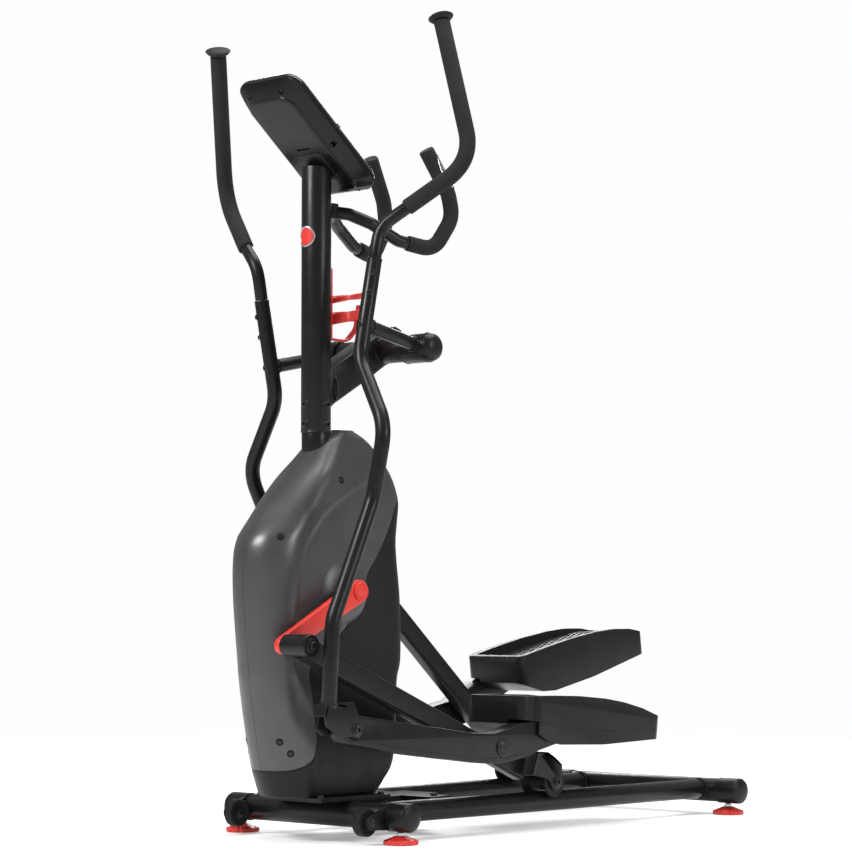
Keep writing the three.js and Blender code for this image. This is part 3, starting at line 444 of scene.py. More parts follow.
def dress(obj, slot, body, *nodes, material=None):
    """Gives an object its finish and the body it rides on, and hides the CAD nodes it stands for."""
    obj.data.materials.clear()
    obj.data.materials.append(material or MATERIAL[slot])
    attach(obj, body)
    if nodes:
        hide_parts(*nodes)
    return obj


def piece(name, shape, slot, body="frame", nodes=(), side=1, pose=REST, bevel=0.0, angle=35, material=None):
    return dress(build(name, shape, side, pose, bevel, angle), slot, body, *nodes, material=material)


def pieces(name, shape, slot, body="frame", node=None, pose="rest", bevel=0.0, angle=35, material=None):
    """One piece on each side. A body that ends in _ takes the side's name."""
    made = []
    for word, side in SIDES:
        where = body + word if body.endswith("_") else body
        nodes = [f"{node}_{word}"] if node else []
        made.append(piece(f"{name}_{word}", shape, slot, where, nodes, side, POSE[word][pose], bevel, angle,
                          material))
    return made


# ---------------------------------------- base
for name, bar, half in (("front", FRONT_BAR, 187.9), ("rear", REAR_BAR, 203.9)):
    piece(f"look_{name}_stabilizer", rod((-half, *bar), (half, *bar), BAR_RADIUS, sides=64), "black_frame",
          nodes=[f"{name}_stabilizer"])

rail_start, rail_end = Vector((145.2, FRONT_BAR[0], 53)), Vector((167.3, REAR_BAR[0], 53))
pieces("look_rail", rod(rail_start, rail_end, 20.5, sides=56), "black_frame", node="rail")
rail_way = (rail_end - rail_start).normalized()
beads = together(
    ring_at(rail_start + rail_way * 26.5, rail_way, 20.8, 2.6, lumps=0.16),
    ring_at(rail_end - rail_way * 26.5, rail_way, 20.8, 2.6, lumps=0.16),
)
pieces("rail_weld", beads, "black_frame")


def cap_profile(start):
    """An end cap's profile from its open end out: a lip, a groove and a domed end."""
    edge = start + 50
    body = [(start, 0), (start, 26.2), (start + 0.8, 27), (start + 6, 27), (start + 6.8, 26.3),
            (start + 8, 26.3),
            (start + 8.8, 27), (edge, 27)]
    dome = [(edge + 10 * math.sin(a), 4 + 23 * math.cos(a))
            for a in (math.pi / 2 * k / 10 for k in range(1, 11))]
    return body + dome + [(edge + 10, 0)]


wheel_ear = prism(strap(WHEEL, 14, FRONT_BAR, BAR_RADIUS), 188.3, 197)
pieces("look_front_cap", together(turned(cap_profile(188.3), *FRONT_BAR), wheel_ear), "cover_black",
       node="front_cap", bevel=1.0)
pieces("look_rear_cap", turned(cap_profile(204.3), *REAR_BAR), "cover_black", node="rear_cap")
wheel_bolt = together(
    rod((160, *WHEEL), (201, *WHEEL), 4, sides=20),
    screw((197, *WHEEL), (1, 0, 0), 6.5, 4.5),
    screw((163.8, *WHEEL), (-1, 0, 0), 6.5, 4.5, False),
)
pieces("wheel_bolt", wheel_bolt, "steel", material=BOLT)
tread = [(164, 4.4), (164, 9), (165.5, 10), (165.5, 19), (164.2, 21), (164.2, 24.5), (166.5, 26.4),
         (170, 26.5),
         (170.6, 25.6), (171.4, 25.6), (172, 26.5)]
pieces("look_wheel", turned(mirrored(tread, 174), *WHEEL), "rubber", "transport_wheel_", "transport_wheel")


def fluted(a, height):
    """Ten thumb hollows round the foot's pad, below its shoulder."""
    return 1 - 0.085 * max(0.0, math.cos(10 * a)) ** 0.8 * (1 if height < 10 else 0)


for end, x, y in (("front", 215, FRONT_BAR[0]), ("rear", 224, REAR_BAR[0])):
    pad = turned([(0, 0), (0, 31), (0.6, 32.2), (1.6, 33), (7, 33), (8.6, 31.6), (9, 29), (10.5, 26.5),
                  (13, 19), (15, 14.5),
                  (16, 13), (16, 0)], sides=120, wave=fluted)
    stem = turned([(15, 0)] + [(15 + 0.6 * k, 4.4 + 0.55 * (k % 2)) for k in range(43)] + [(41, 0)], sides=28)
    nut = turned([(17, 0), (17, 8.5), (21.5, 8.5), (22, 7.8), (22, 0)], sides=6)
    pieces(f"look_{end}_foot", turned_to(pad, (x, y, 0), (0, 0, 1)), "red_plastic", f"{end}_foot_",
           f"{end}_foot")
    pieces(f"{end}_foot_stem", turned_to(together(stem, nut), (x, y, 0), (0, 0, 1)), "steel", f"{end}_foot_")

# Main frame: the CAD solid is shown, with the bolts, welds and collar that a real one has.
piece("neck_sleeve", rod((0, 0, 735), (0, 0, 779.6), 27.6, sides=64), "black_frame")
piece("neck_collar",
      together(ring_at((0, 0, 779.2), (0, 0, 1), 28.2, 1.3), ring_at((0, 0, 781.6), (0, 0, 1), 29.2, 0.9)),
      "steel", material=BOLT)
plate_bolts = [screw((x, y, 83.4), (0, 0, 1), 6, 5) for x in (-82, 82) for y in (-66, 98)]
plate_bolts += [screw((x, 229, 74), (0, 0, 1), 6, 5) for x in (-98, 98)]
piece("plate_bolts", together(*plate_bolts), "steel", material=BOLT)
piece("beam_weld", ring_at((0, 40.5, 54), (0, 1, 0), 30, 2.0, lumps=0.2), "black_frame")

# ---------------------------------------- mast
piece("look_mast", rod((0, 0, 780), (0, 0, 1296), MAST_RADIUS, sides=72, soft=1.2), "black_frame",
      nodes=["mast"])
collar_bolts = []
for z in (794, 832):
    for x, y in ((0, -1), (1, 0), (-1, 0)):
        collar_bolts.append(screw((x * 28.2, y * 28.2, z), (x, y, 0), 5.6, 5.2))
piece("mast_bolts", together(*collar_bolts), "steel", material=BOLT)


BADGE_HEIGHT = 1158


def badge_ring(radius, lift):
    """A circle wrapped on the front of the mast, at a height over its surface."""
    ring = []
    for a in around(64):
        turn = radius * math.cos(a) / MAST_RADIUS
        out = MAST_RADIUS + lift
        ring.append((out * math.sin(turn), -out * math.cos(turn), BADGE_HEIGHT + radius * math.sin(a)))
    return ring


disc = [(20, 0.4), (20, 1.5), (19.2, 1.78), (17.6, 1.78), (17.2, 1.1), (12, 1.1), (6, 1.15), (0.2, 1.2)]
piece("look_badge", skin([badge_ring(*level) for level in disc]), "red_plastic", nodes=["mast_badge"])
badge_rim = ((20.4, 0.2), (20.4, 1.7), (19.4, 2.3), (17.9, 2.3), (17.0, 1.3), (18.0, 0.2))
piece("badge_rim", skin([badge_ring(*level) for level in badge_rim], closed=True), "steel")

# Pivot arm and cross tube.
arm_side = [(12, 826), (60, 853), (130, 893), (190, 930), (206, 944), (218, 966), (224, 983), (216, 993),
            (200, 999),
            (184, 997), (172, 992), (120, 962), (60, 928), (12, 900)]
piece("look_pivot_bracket", prism(arm_side, -25, 25), "black_frame", nodes=["pivot_bracket"], bevel=5)
cross = together(
    rod((-87, *CROSS_TUBE), (87, *CROSS_TUBE), 25, sides=64, soft=1.5),
    rod((-151.9, *CROSS_TUBE), (151.9, *CROSS_TUBE), 8, sides=32),
    ring_at((-26, *CROSS_TUBE), (1, 0, 0), 25.2, 2.2, lumps=0.15),
    ring_at((26, *CROSS_TUBE), (1, 0, 0), 25.2, 2.2, lumps=0.15),
)
piece("cross_tube", cross, "black_frame")
piece("bracket_weld", ring_at((0, 27.5, 863), (0, 1, 0), 33, 2.4, lumps=0.2), "black_frame")

# ---------------------------------------- bottle cage
def band(path, height, thick, up=Vector((0, 0, 1))):
    """A flat strip on edge along path, with softened corners."""
    section = rounded((-thick / 2, thick / 2), (-height / 2, height / 2), 1.6, 4)
    rings = []
    for i, point in enumerate(path):
        ahead = (path[min(i + 1, len(path) - 1)] - path[max(i - 1, 0)]).normalized()
        out = ahead.cross(up).normalized()
        over = out.cross(ahead).normalized()
        rings.append([point + out * u + over * v for u, v in section])
    return skin(rings)


STRAP_THICK = 4.2


def hoop(z, lift, height):
    """A strap round the bottle that rises by lift to its front."""
    corners = [(-8, 33, z), (-36, 44, z + lift * 0.3), (-38, 92, z + lift), (0, 121.5, z + lift),
               (38, 92, z + lift),
               (36, 44, z + lift * 0.3), (8, 33, z)]
    return band(route(corners, 40), height, STRAP_THICK)


plate_rings = [[(x, y, z) for x, z in rounded((-12 + k, 12 - k), (957 + k, 1104 - k), 8)] for y, k in
               ((29.4, 0), (32.6, 0), (33.7, 0.5), (34, 1.6))]
foot_corners = [Vector(p) for p in ((0, 33, 963), (0, 84, 962), (0, 112, 990), (0, 120, 1036))]
cage_foot = band(route(foot_corners, 30), 16, STRAP_THICK, Vector((1, 0, 0)))
cage = together(skin(plate_rings), hoop(1036, 16, 9.5), hoop(1000, 14, 20), cage_foot)
piece("look_bottle_cage", cage, "red_plastic", nodes=["bottle_cage"])
cage_screws = [screw((0, 33.6, z), (0, 1, 0), 3.6, 3) for z in (1088, 1062)]
piece("cage_screws", together(*cage_screws), "steel")

# ---------------------------------------- fixed handlebar and grips
bar_half = [(0, 43, 1213), (24, 66, 1209), (45, 106, 1193), (62, 166, 1163), (67.5, 185.8, 1159.8)]
bar = list(reversed(bar_half)) + [(-x, y, z) for x, y, z in bar_half[1:]]
mount = together(box((-16, 16), (24, 45), (1198, 1228)), ring_at((0, 30, 1213), (0, 1, 0), 17, 2, lumps=0.15))
piece("look_fixed_handlebar", sweep(route(bar, 30), 12.5, 40), "black_frame", nodes=["fixed_handlebar"])
piece("handlebar_mount", mount, "black_frame", bevel=2.5)

grip_corners = [(67.6, 186.2, 1159.7), (84, 245, 1150), (92, 292, 1220), (89, 282, 1268), (77, 230, 1350)]
grip_line = route(grip_corners, 60, 14)
fixed_grips = pieces("look_fixed_grip", sweep(grip_line, 15.5, 44, 3.5), "foam", node="fixed_grip", angle=60)
pieces("grip_ring", ring_at((67.8, 186.8, 1159.6), (0.26, 0.95, -0.15), 13.4, 1.6), "rubber")

# Pulse plates: a long oval contact on the outer side of each grip, in a thin bright rim.
contact_from, contact_to = Vector((88.4, 279.4, 1272)), Vector((79.4, 240.6, 1333.4))
contact_way = (contact_to - contact_from).normalized()
facing = Vector((0.75, 0.66, 0))
outward = (facing - contact_way * facing.dot(contact_way)).normalized()
beside = contact_way.cross(outward)


def contact_ring(share, radius):
    """A long oval wrapped on the grip, at a radius from its axis; share is its size."""
    ring = []
    for a in around(72):
        along = 0.5 + 0.5 * share * math.copysign(abs(math.cos(a)) ** 0.75, math.cos(a))
        turn = 0.95 * share * math.sin(a)
        ring.append(contact_from + (contact_to - contact_from) * along
                    + (outward * math.cos(turn) + beside * math.sin(turn)) * radius)
    return ring


plate_rings = [contact_ring(share, radius) for share, radius in
               ((1.0, 15.2), (1.0, 16.8), (0.93, 17.1), (0.86, 16.8), (0.84, 16.4), (0.5, 16.5),
                (0.02, 16.5))]
pieces("look_pulse_plate", skin(plate_rings), "steel", node="pulse_plate", angle=50)
bright = [contact_ring(share, radius) for share, radius in
          ((1.03, 15.2), (1.05, 16.9), (1.0, 17.6), (0.93, 17.6), (0.88, 16.9), (0.9, 15.2))]
pieces("pulse_rim", skin(bright, closed=True), "chrome", angle=60)
plug_end = Vector(grip_corners[-1])
plug_way = (plug_end - Vector(grip_corners[-2])).normalized()
plug = turned([(-3, 0), (-3, 13), (-0.5, 14.4), (0.3, 13.5), (0.6, 0)], sides=48)
pieces("fixed_grip_plug", turned_to(plug, plug_end, plug_way), "rubber")

# ---------------------------------------- console
TILT = math.radians(38.5)
CONSOLE_HEIGHT = 1297
KEY_X = (-38, 0, 38)
KEY_Y = -20


def on_console(shape):
    """Leans a shape drawn flat, with z out of the screen, to where the console sits on the mast."""
    out = []
    for x, y, z in shape[0]:
        out.append((x, y * math.cos(TILT) + z * math.sin(TILT),
                    CONSOLE_HEIGHT - y * math.sin(TILT) + z * math.cos(TILT)))
    return out, shape[1]


def blended(a, b, t):
    return [(p[0] + (q[0] - p[0]) * t, p[1] + (q[1] - p[1]) * t) for p, q in zip(a, b)]


def inset(outline, amount):
    """Draws an outline in by an amount on every side."""
    cx = sum(p[0] for p in outline) / len(outline)
    cy = sum(p[1] for p in outline) / len(outline)
    return [(x + (amount if x < cx else -amount) * min(1, abs(x - cx) / 40),
             y + (amount if y < cy else -amount) * min(1, abs(y - cy) / 60)) for x, y in outline]


rim = rounded((-82, 82), (-206, 95), 34, 12)
back = rounded((-62, 62), (-178, 74), 30, 12)
shell_levels = [(inset(back, 7), 0.2), (inset(back, 3), 0.6), (inset(back, 0.6), 2.2), (back, 4.4)]
for step in range(1, 9):
    t = step / 8
    shell_levels.append((blended(back, rim, t ** 0.85), 4.4 + 21.6 * t))
shell_levels += [(rim, 30.6), (inset(rim, 0.8), 31.8)]
shell = build("look_console_shell", on_console(stacked(shell_levels)), angle=40)
carved(shell, on_console(box((-17, 17), (-50, -45), (-5, 3))))
CONSOLE_SCREWS = ((-44, -186, 8), (44, -186, 8), (-70, -40, 14), (70, -40, 14), (-44, 82, 10), (44, 82, 10))
for x, y, z in CONSOLE_SCREWS:
    pit = turned([(-14, 0), (-14, 6.5), (0, 5), (0, 0)], sides=32)
    carved(shell, on_console(turned_to(pit, (x, y, z + 4), (0, 0, 1))))
shaded(shell, 40)
dress(shell, "cover_black", "frame", "console_rear_shell", material=GLOSS)
back_screws = [on_console(screw((x, y, z + 4.2), (0, 0, -1), 2.8, 2.6)) for x, y, z in CONSOLE_SCREWS]
piece("console_screws", together(*back_screws), "steel", material=BOLT)
neck_screws = [on_console(screw((x, y, 0.4), (0, 0, -1), 2.6, 2.2)) for x in (-34, 34) for y in (-26, 26)]
piece("console_neck_screws", together(*neck_screws), "steel", material=BOLT)
collar = [(rounded((-36 - k, 36 + k), (-34 - k, 40 + k), 14), z)
          for z, k in ((1.0, 0), (-0.6, 0), (-1.2, -1.2))]
piece("console_neck_plate", on_console(stacked(collar)), "cover_black")
# Painted shade: a near-black strip in the seam between the shell and the bezel.
piece("console_seam_shade", on_console(prism_z(inset(rim, 1.3), 31, 33)), "cover_black", material=SHADOW)

top = rounded((-76, 76), (-200, 89), 30, 12)
bezel_levels = [(inset(rim, 0.7), 32.3), (rim, 33.4)]
bezel_levels += [(blended(rim, top, t), z) for t, z in ((0.4, 38.6), (0.8, 42.2), (0.95, 43.6))]
bezel_levels += [(inset(top, 1.5), 44)]
bezel = build("look_console_bezel", on_console(stacked(bezel_levels)), angle=40)
carved(bezel, on_console(prism_z(rounded((-58, 58), (-170, -62), 6), 38.4, 60)))
for x in KEY_X:
    carved(bezel, on_console(prism_z(arc((x, KEY_Y), 11.4, 0, 352.5, 47), 38.2, 60)))
softened(bezel, 0.5, 2)
shaded(bezel, 40)
dress(bezel, "cover_black", "frame", "console_bezel", material=GLOSS)
lips = together(box((-66, 66), (28, 34), (40, 52)), box((20, 66), (-50, -44), (40, 56)))
piece("console_shelf", on_console(lips), "cover_black", bevel=1.6)
catch = [(rounded((62 + k, 74 - k), (-62 + k, -54 - k), 2.4, 6), z) for z, k in ((42, 0), (49, 0), (50, 0.8))]
piece("console_catch", on_console(stacked(catch)), "chrome")
glass = [(inset(rounded((-57, 57), (-169, -63), 5), k), z) for z, k in ((38.5, 0), (42.4, 0), (43, 0.8))]
piece("look_screen", on_console(stacked(glass)), "screen", nodes=["console_screen"])
piece("screen_window", on_console(prism_z(rounded((-46, 46), (-156, -78), 3), 42.9, 43.2)), "screen",
      material=LCD)
key_top = turned([(40.7, 0), (40.7, 11), (44, 11), (45.4, 10.2), (45.9, 9), (45.5, 6), (45.2, 0)], sides=48)
for index, x in enumerate(KEY_X):
    name = f"console_button_{index + 1}"
    piece(f"look_{name}", on_console(turned_to(key_top, (x, KEY_Y, 0), (0, 0, 1))),
          "red_plastic" if x == 0 else "rubber", name, [name])

# ---------------------------------------- shroud
# Height, front, rear and half width of the shroud, from the floor up.
LEVELS = [(84, -122, 116, 67), (108, -131, 136, 70), (145, -143, 160, 73), (223, -160, 167, 74),
          (301, -173, 170, 75),
          (345, -178, 180, 75), (455, -189, 178, 75), (530, -190, 169, 75), (572, -180, 167, 74),
          (611, -150, 172, 73),
          (650, -118, 177, 70), (692, -79, 165, 64), (726, -42, 146, 54), (748, -20, 128, 46),
          (768, 2, 108, 37),
          (784, 34, 86, 24)]
levels = smooth_line([Vector(level) for level in LEVELS], 6)

# The shoulder of the shell: behind this line (y at each height) the side sits a little lower than the nose.
SHOULDER = [(140, -74), (202, -75), (240, -77), (274, -88), (297, -109), (330, -125), (394, -126),
            (443, -125), (493, -121),
            (544, -107), (569, -93), (607, -62), (636, -25), (663, 26), (700, 110), (790, 240)]


def shoulder(z):
    for (z0, y0), (z1, y1) in zip(SHOULDER, SHOULDER[1:]):
        if z <= z1:
            return y0 + (y1 - y0) * max(0.0, (z - z0) / (z1 - z0))
    return SHOULDER[-1][1]


def shroud_ring(level, tight=0.0, lift=0.0):
    """The shroud's outline at one level: a round nose, a square tail, sides sunk behind the shoulder."""
    z, front, rear, half = level
    w, f, r = half - tight, front + tight, rear - tight
    nose = min(w, (r - f) / 2)
    tail = nose * 0.42
    right = list(reversed(arc((w - tail, r - tail), tail, 0, 90, 10)))
    right += [(w, r - tail + (f + nose - r + tail) * k / 40) for k in range(1, 40)]
    right += list(reversed(arc((w - nose, f + nose), nose, -90, 0, 28)))
    sunk = []
    for x, y in right:
        t = min(1.0, max(0.0, (y - shoulder(z)) / 9))
        fade = min(1.0, max(0.0, (x - w * 0.7) / (w * 0.3)))
        sunk.append((x - 3.2 * t * t * (3 - 2 * t) * fade, y))
    left = [(-x, y) for x, y in reversed(sunk)]
    return [(x, y, z + lift) for x, y in sunk + left[:-1]]


def shroud_body():
    rings = [shroud_ring(levels[0], 3.5), shroud_ring(levels[0], 0.9, 0.9), shroud_ring(levels[0], 0, 3)]
    rings += [shroud_ring(level) for level in levels[1:]]
    rings += [shroud_ring(levels[-1], 1.5, 1.6), shroud_ring(levels[-1], 5, 2.4)]
    return skin(rings)


# The line between the grey shell and the black cover, from the top of the tail down and forward to the nose.
EDGE = [(240, 830), (200, 722), (166, 658), (150, 631), (136, 602), (113, 562), (93, 534), (73, 508),
        (54, 462), (10, 402),
        (-30, 374), (-78, 336), (-86, 304), (-76, 267), (-65, 190), (-76, 158), (-98, 142), (-140, 134),
        (-260, 140)]
edge_line = [tuple(p) for p in smooth_line([Vector(p) for p in EDGE], 6)]
shell_line = [(y - 1.1, z + 0.9) for y, z in edge_line]


def shroud_part(name, kept, side, slot, node_name):
    part = build(name, shroud_body())
    carved(part, kept, side, operation="INTERSECT")
    softened(part, 1.1, 2, 40)
    shaded(part, 32)
    dress(part, slot, "frame", node_name)


shell_side = prism(shell_line + [(-320, 140), (-320, 900), (239, 900)], 0.35, 140)
for word, side in SIDES:
    shroud_part(f"look_shroud_{word}", shell_side, side, "shell_grey", f"shroud_{word}")
cover_side = prism(edge_line + [(-260, 40), (260, 40), (260, 830)], -140, 140)
shroud_part("look_shroud_cover", cover_side, 1, "cover_black", "shroud_rear_cover")
# Painted shade: a near-black core just inside the shroud, seen through the gaps between its parts.
core = [shroud_ring(level, 2.5) for level in levels[1:-1]]
piece("shroud_joint_shade", skin(core), "cover_black", material=SHADOW)

hub = [(66, 11.5), (72, 29), (78, 29.4), (80, 29), (90, 23), (92, 21), (92, 13), (90.5, 11.5), (66, 11.5)]
pieces("look_hub_cover", turned(hub, *CRANK_AXLE), "cover_black", node="hub_cover")
swell = [(66, 0), (70.5, 62), (73.5, 57), (77, 48), (79, 38), (79.4, 31), (79.4, 0)]
pieces("hub_swell", turned(swell, *CRANK_AXLE, 96), "shell_grey", angle=60)


def struck(name, start, way):
    """The point and outward direction where a line meets a placed piece."""
    target = bpy.data.objects[name]
    begin = Vector((start[0] * MM, (start[1] + MAST_Y) * MM, start[2] * MM))
    _, where, normal, _ = target.ray_cast(begin, Vector(way))
    return Vector((where.x / MM, where.y / MM - MAST_Y, where.z / MM)), normal


bpy.context.view_layer.update()
screw_heads, screw_pits = [], []
pit = turned([(-1, 0), (-1, 7), (0.25, 7), (0.35, 6.2), (0.2, 5.4), (0.2, 0)], sides=40)
head = turned([(0, 0), (0, 4.2), (0.7, 4.1), (1.0, 3.2), (1.0, 1.3), (0.4, 1.1), (0.4, 0)], sides=24)
for y, z in ((4, 685), (-150, 574), (-121, 168), (-138, 190)):
    for side in (1, -1):
        spot, out = struck("look_shroud_left" if side > 0 else "look_shroud_right", (side * 140, y, z),
                           (-side, 0, 0))
        screw_pits.append(turned_to(pit, spot, out))
        screw_heads.append(turned_to(head, spot, out))
# Painted shade: near-black pits round the screw heads on the shroud.
piece("shroud_pit_shade", together(*screw_pits), "cover_black", material=SHADOW)
piece("shroud_screws", together(*screw_heads), "steel", material=BOLT)

# ---------------------------------------- cranks
plate = prism(strap((0, 0), 22, (CRANK_REACH, 0), 17), 100, 113)
pieces("look_crank", plate, "red_metal", "crankset", "crank_arm", "crank", bevel=2.2)
nose_cap = [(92, 0), (92, 13), (100, 13), (112.5, 18), (116, 18), (117, 17.2), (117, 13.4), (116.2, 13),
            (117.6, 12.2),
            (118, 10.5), (118, 0)]
pieces("crank_boss", turned(nose_cap), "red_metal", "crankset", pose="crank")
pin_ring = turned([(98, 7.4), (98, 15), (112.8, 15), (114, 14.2), (114, 7.4), (98, 7.4)], CRANK_REACH, 0)
pieces("crank_pin_ring", pin_ring, "red_metal", "crankset", pose="crank")

# ---------------------------------------- roller arms, forks and rollers
tube = skin([[(x, y, z) for x, z in rounded((133.5, 163.5), (-21, 21), 6)] for y in (8, 667)])
pieces("look_roller_arm", tube, "black_frame", "roller_arm_", "roller_arm", "pin")
sleeve = turned([(116.3, 0), (116.3, 19.5), (117.5, 21), (179.5, 21), (181, 19.6), (181, 0)])
sleeve = together(sleeve, rod((97, 0, 0), (117, 0, 0), 7, sides=32))
pieces("crank_housing", sleeve, "black_frame", "roller_arm_", pose="pin")
washer = turned([(180.8, 0), (180.8, 14), (182.6, 14), (183.2, 13.2), (183.2, 0)])
bolt_head = turned([(0, 0), (0, 8), (4, 8), (5, 7), (5, 3.6), (2, 3.4), (2, 0)], sides=32)
pieces("housing_bolt", together(washer, turned_to(bolt_head, (183, 0, 0), (1, 0, 0))), "steel", "roller_arm_",
       pose="pin", material=BOLT)
boss = rod((163, PEDAL_REACH, 0), (171.7, PEDAL_REACH, 0), 16, sides=48)
pieces("pedal_boss", boss, "black_frame", "roller_arm_", pose="pin")
pivot_cap = turned([(209.9, 0), (209.9, 17), (211, 17.6), (212.6, 17), (213, 15.5), (212.6, 11), (214, 10),
                    (214, 4.5),
                    (213, 4), (213, 0)], PEDAL_REACH, 0)
pieces("pivot_cap", pivot_cap, "steel", "roller_arm_", pose="pin", material=BOLT)
end = ROLLER_REACH
side_plate = ([(end - 74, -12), (end - 74, 34), (end - 62, 41), (end - 46, 46), (end - 20, 43.5),
               (end + 4, 38)]
              + arc((end, 0), 17, 30, -150, 20) + [(end - 30, -4)])
web = [(end - 74, -12), (end - 74, 34), (end - 62, 41), (end - 46, 46), (end - 20, 43), (end - 2, 39.5),
       (end - 3, 34.5), (end - 22, 38),
       (end - 46, 40), (end - 62, 34), (end - 68, 30), (end - 68, -12)]
fork = together(prism(side_plate, 117, 121), prism(side_plate, 189, 193), prism(web, 117, 193))
pieces("roller_fork", fork, "black_frame", "roller_arm_", pose="pin", bevel=1.2)
pin_ends = together(screw((193, end, 0), (1, 0, 0), 8, 6), screw((117, end, 0), (-1, 0, 0), 7, 5, False),
                    rod((117, end, 0), (193, end, 0), 6, sides=24))
pieces("roller_pin", pin_ends, "steel", "roller_arm_", pose="pin", material=BOLT)
drum = [(122, 6.4), (122, 12), (123.2, 13), (123.2, 25), (122, 26.5), (122, 29), (123, 30), (126, 30),
        (127.4, 28.8),
        (130, 21), (133, 17.8), (137, 17)]
pieces("look_roller", turned(mirrored(drum, 155)), "rubber", "roller_", "roller", "hub")
bearings = [turned([(x, 6.6), (x, 12.6), (x + 1.6, 12.6), (x + 1.6, 6.6), (x, 6.6)]) for x in (186.6, 121.8)]
pieces("roller_bearing", together(*bearings), "steel", "roller_", pose="hub")

# ---------------------------------------- pedal arms
# The arm's side from the pedal pivot: its top edge from the rear forward, and its lower edge back again.
upper = [(330, 64), (104, 62), (56, 52.5), (4, 35), (-28, 25.5), (-85, 22), (-285, 25)]
lower = [(-285, -34), (-173, -34.5), (-51, -34.5), (8, -29), (72, -13), (112, 4), (160, 20), (330, 41)]
flank = arc((EYE_Y, 0), 29, 110, 250, 20) + lower + upper
eye = turned([(160, 0), (160, 16.5), (220, 16.5), (220, 0)], EYE_Y, 0, 48)
for word, side in SIDES:
    where = POSE[word]["pedal"]
    arm = build(f"look_pedal_arm_{word}", prism(flank, 172, 210), side, where)
    carved(arm, eye, side, where)
    softened(arm, 3.2, 4, 30)
    shaded(arm, 35)
    dress(arm, "black_frame", f"pedal_arm_{word}", f"pedal_arm_{word}")
bush = turned([(171.8, 9), (171.8, 16.3), (210.2, 16.3), (210.2, 9), (171.8, 9)], EYE_Y, 0)
pieces("link_bush", bush, "rubber", "pedal_arm_", pose="pedal")
crease_line = ((-380, -19), (-285, -24), (-173, -25), (-51, -25), (8, -19), (60, -6))
crease = sweep([Vector((210.1, y, z)) for y, z in crease_line], 0.7, 10, 0.4)
pieces("arm_crease", crease, "black_frame", "pedal_arm_", pose="pedal")

# ---------------------------------------- pedals
flank = [(56, 52), (90, 38), (128, 24), (168, 20), (300, 31), (484, 58), (486.5, 78), (486, 98), (482, 103),
         (476, 106),
         (436, 117), (380, 124), (320, 126), (235, 123), (150, 116), (65, 107), (59, 96), (56, 80)]
plan = (arc((182, 82), 24, -90, 0, 10) + [(207, 90), (213, 94), (217, 100)] + arc((196, 464), 22, 0, 90, 10)
        + arc((72, 464), 22, 90, 180, 10) + arc((78, 84), 28, 180, 270, 10))
floor_line = [(78, 88), (130, 92), (300, 107), (400, 112), (440, 109), (470, 102)]
dish_side = floor_line + [(478, 160), (70, 160)]
dish_plan = rounded((61, 191), (68, 474), 24, 10)
edge_box = box((0, 40), (0, 506), (0, 60))
lean = math.radians(-36)
wedge = [(218 + x * math.cos(lean) + z * math.sin(lean), y, 98 - x * math.sin(lean) + z * math.cos(lean))
         for x, y, z in edge_box[0]]
arm_room = prism([(40, -40), (340, -40), (331, 41), (331, 64.6), (104, 62.6), (40, 47.6)], 168, 212)
for word, side in SIDES:
    where = POSE[word]["pedal"]
    pedal = build(f"look_pedal_{word}", prism(flank, 50, 218), side, where)
    carved(pedal, prism_z(plan, -50, 200), side, where, "INTERSECT")
    dish = build("dish", prism(dish_side, 45, 225), side, where)
    carved(dish, prism_z(dish_plan, 0, 200), side, where, "INTERSECT")
    carved_by(pedal, dish)
    carved(pedal, (wedge, edge_box[1]), side, where)
    carved(pedal, box((167, 230), (40, 98), (-40, 60)), side, where)
    carved(pedal, arm_room, side, where)
    softened(pedal, 2.6, 3, 28)
    shaded(pedal, 34)
    dress(pedal, "pedal_black", f"pedal_arm_{word}", f"pedal_{word}")


def floor_height(y):
    for (a, ha), (b, hb) in zip(floor_line, floor_line[1:]):
        if a <= y <= b:
            return ha + (hb - ha) * (y - a) / (b - a)
    return floor_line[-1][1]


def diamond(x, y, z, half_x, half_y):
    return [(x - half_x, y, z), (x, y - half_y, z), (x + half_x, y, z), (x, y + half_y, z)]


# The tread: rows of diamond studs, every other row half a step across.
TREAD_ROWS, TREAD_COLUMNS = 24, 9
ROW_STEP, COLUMN_STEP = 16, 13
studs = []
for row in range(TREAD_ROWS):
    for column in range(TREAD_COLUMNS):
        y = 92 + row * ROW_STEP
        x = 72 + column * COLUMN_STEP + (COLUMN_STEP / 2 if row % 2 else 0)
        h = floor_height(y)
        studs.append(skin([diamond(x, y, h - 1, 5, 6.5), diamond(x, y, h + 1.8, 3.4, 4.6)]))
pieces("pedal_tread", together(*studs), "pedal_black", "pedal_arm_", pose="pedal", angle=20)
crease_line = ((104, 60), (168, 52), (300, 58), (470, 76))
rim_crease = sweep([Vector((217.6, y, z)) for y, z in crease_line], 0.8, 10, 0.4)
pieces("pedal_crease", rim_crease, "pedal_black", "pedal_arm_", pose="pedal")

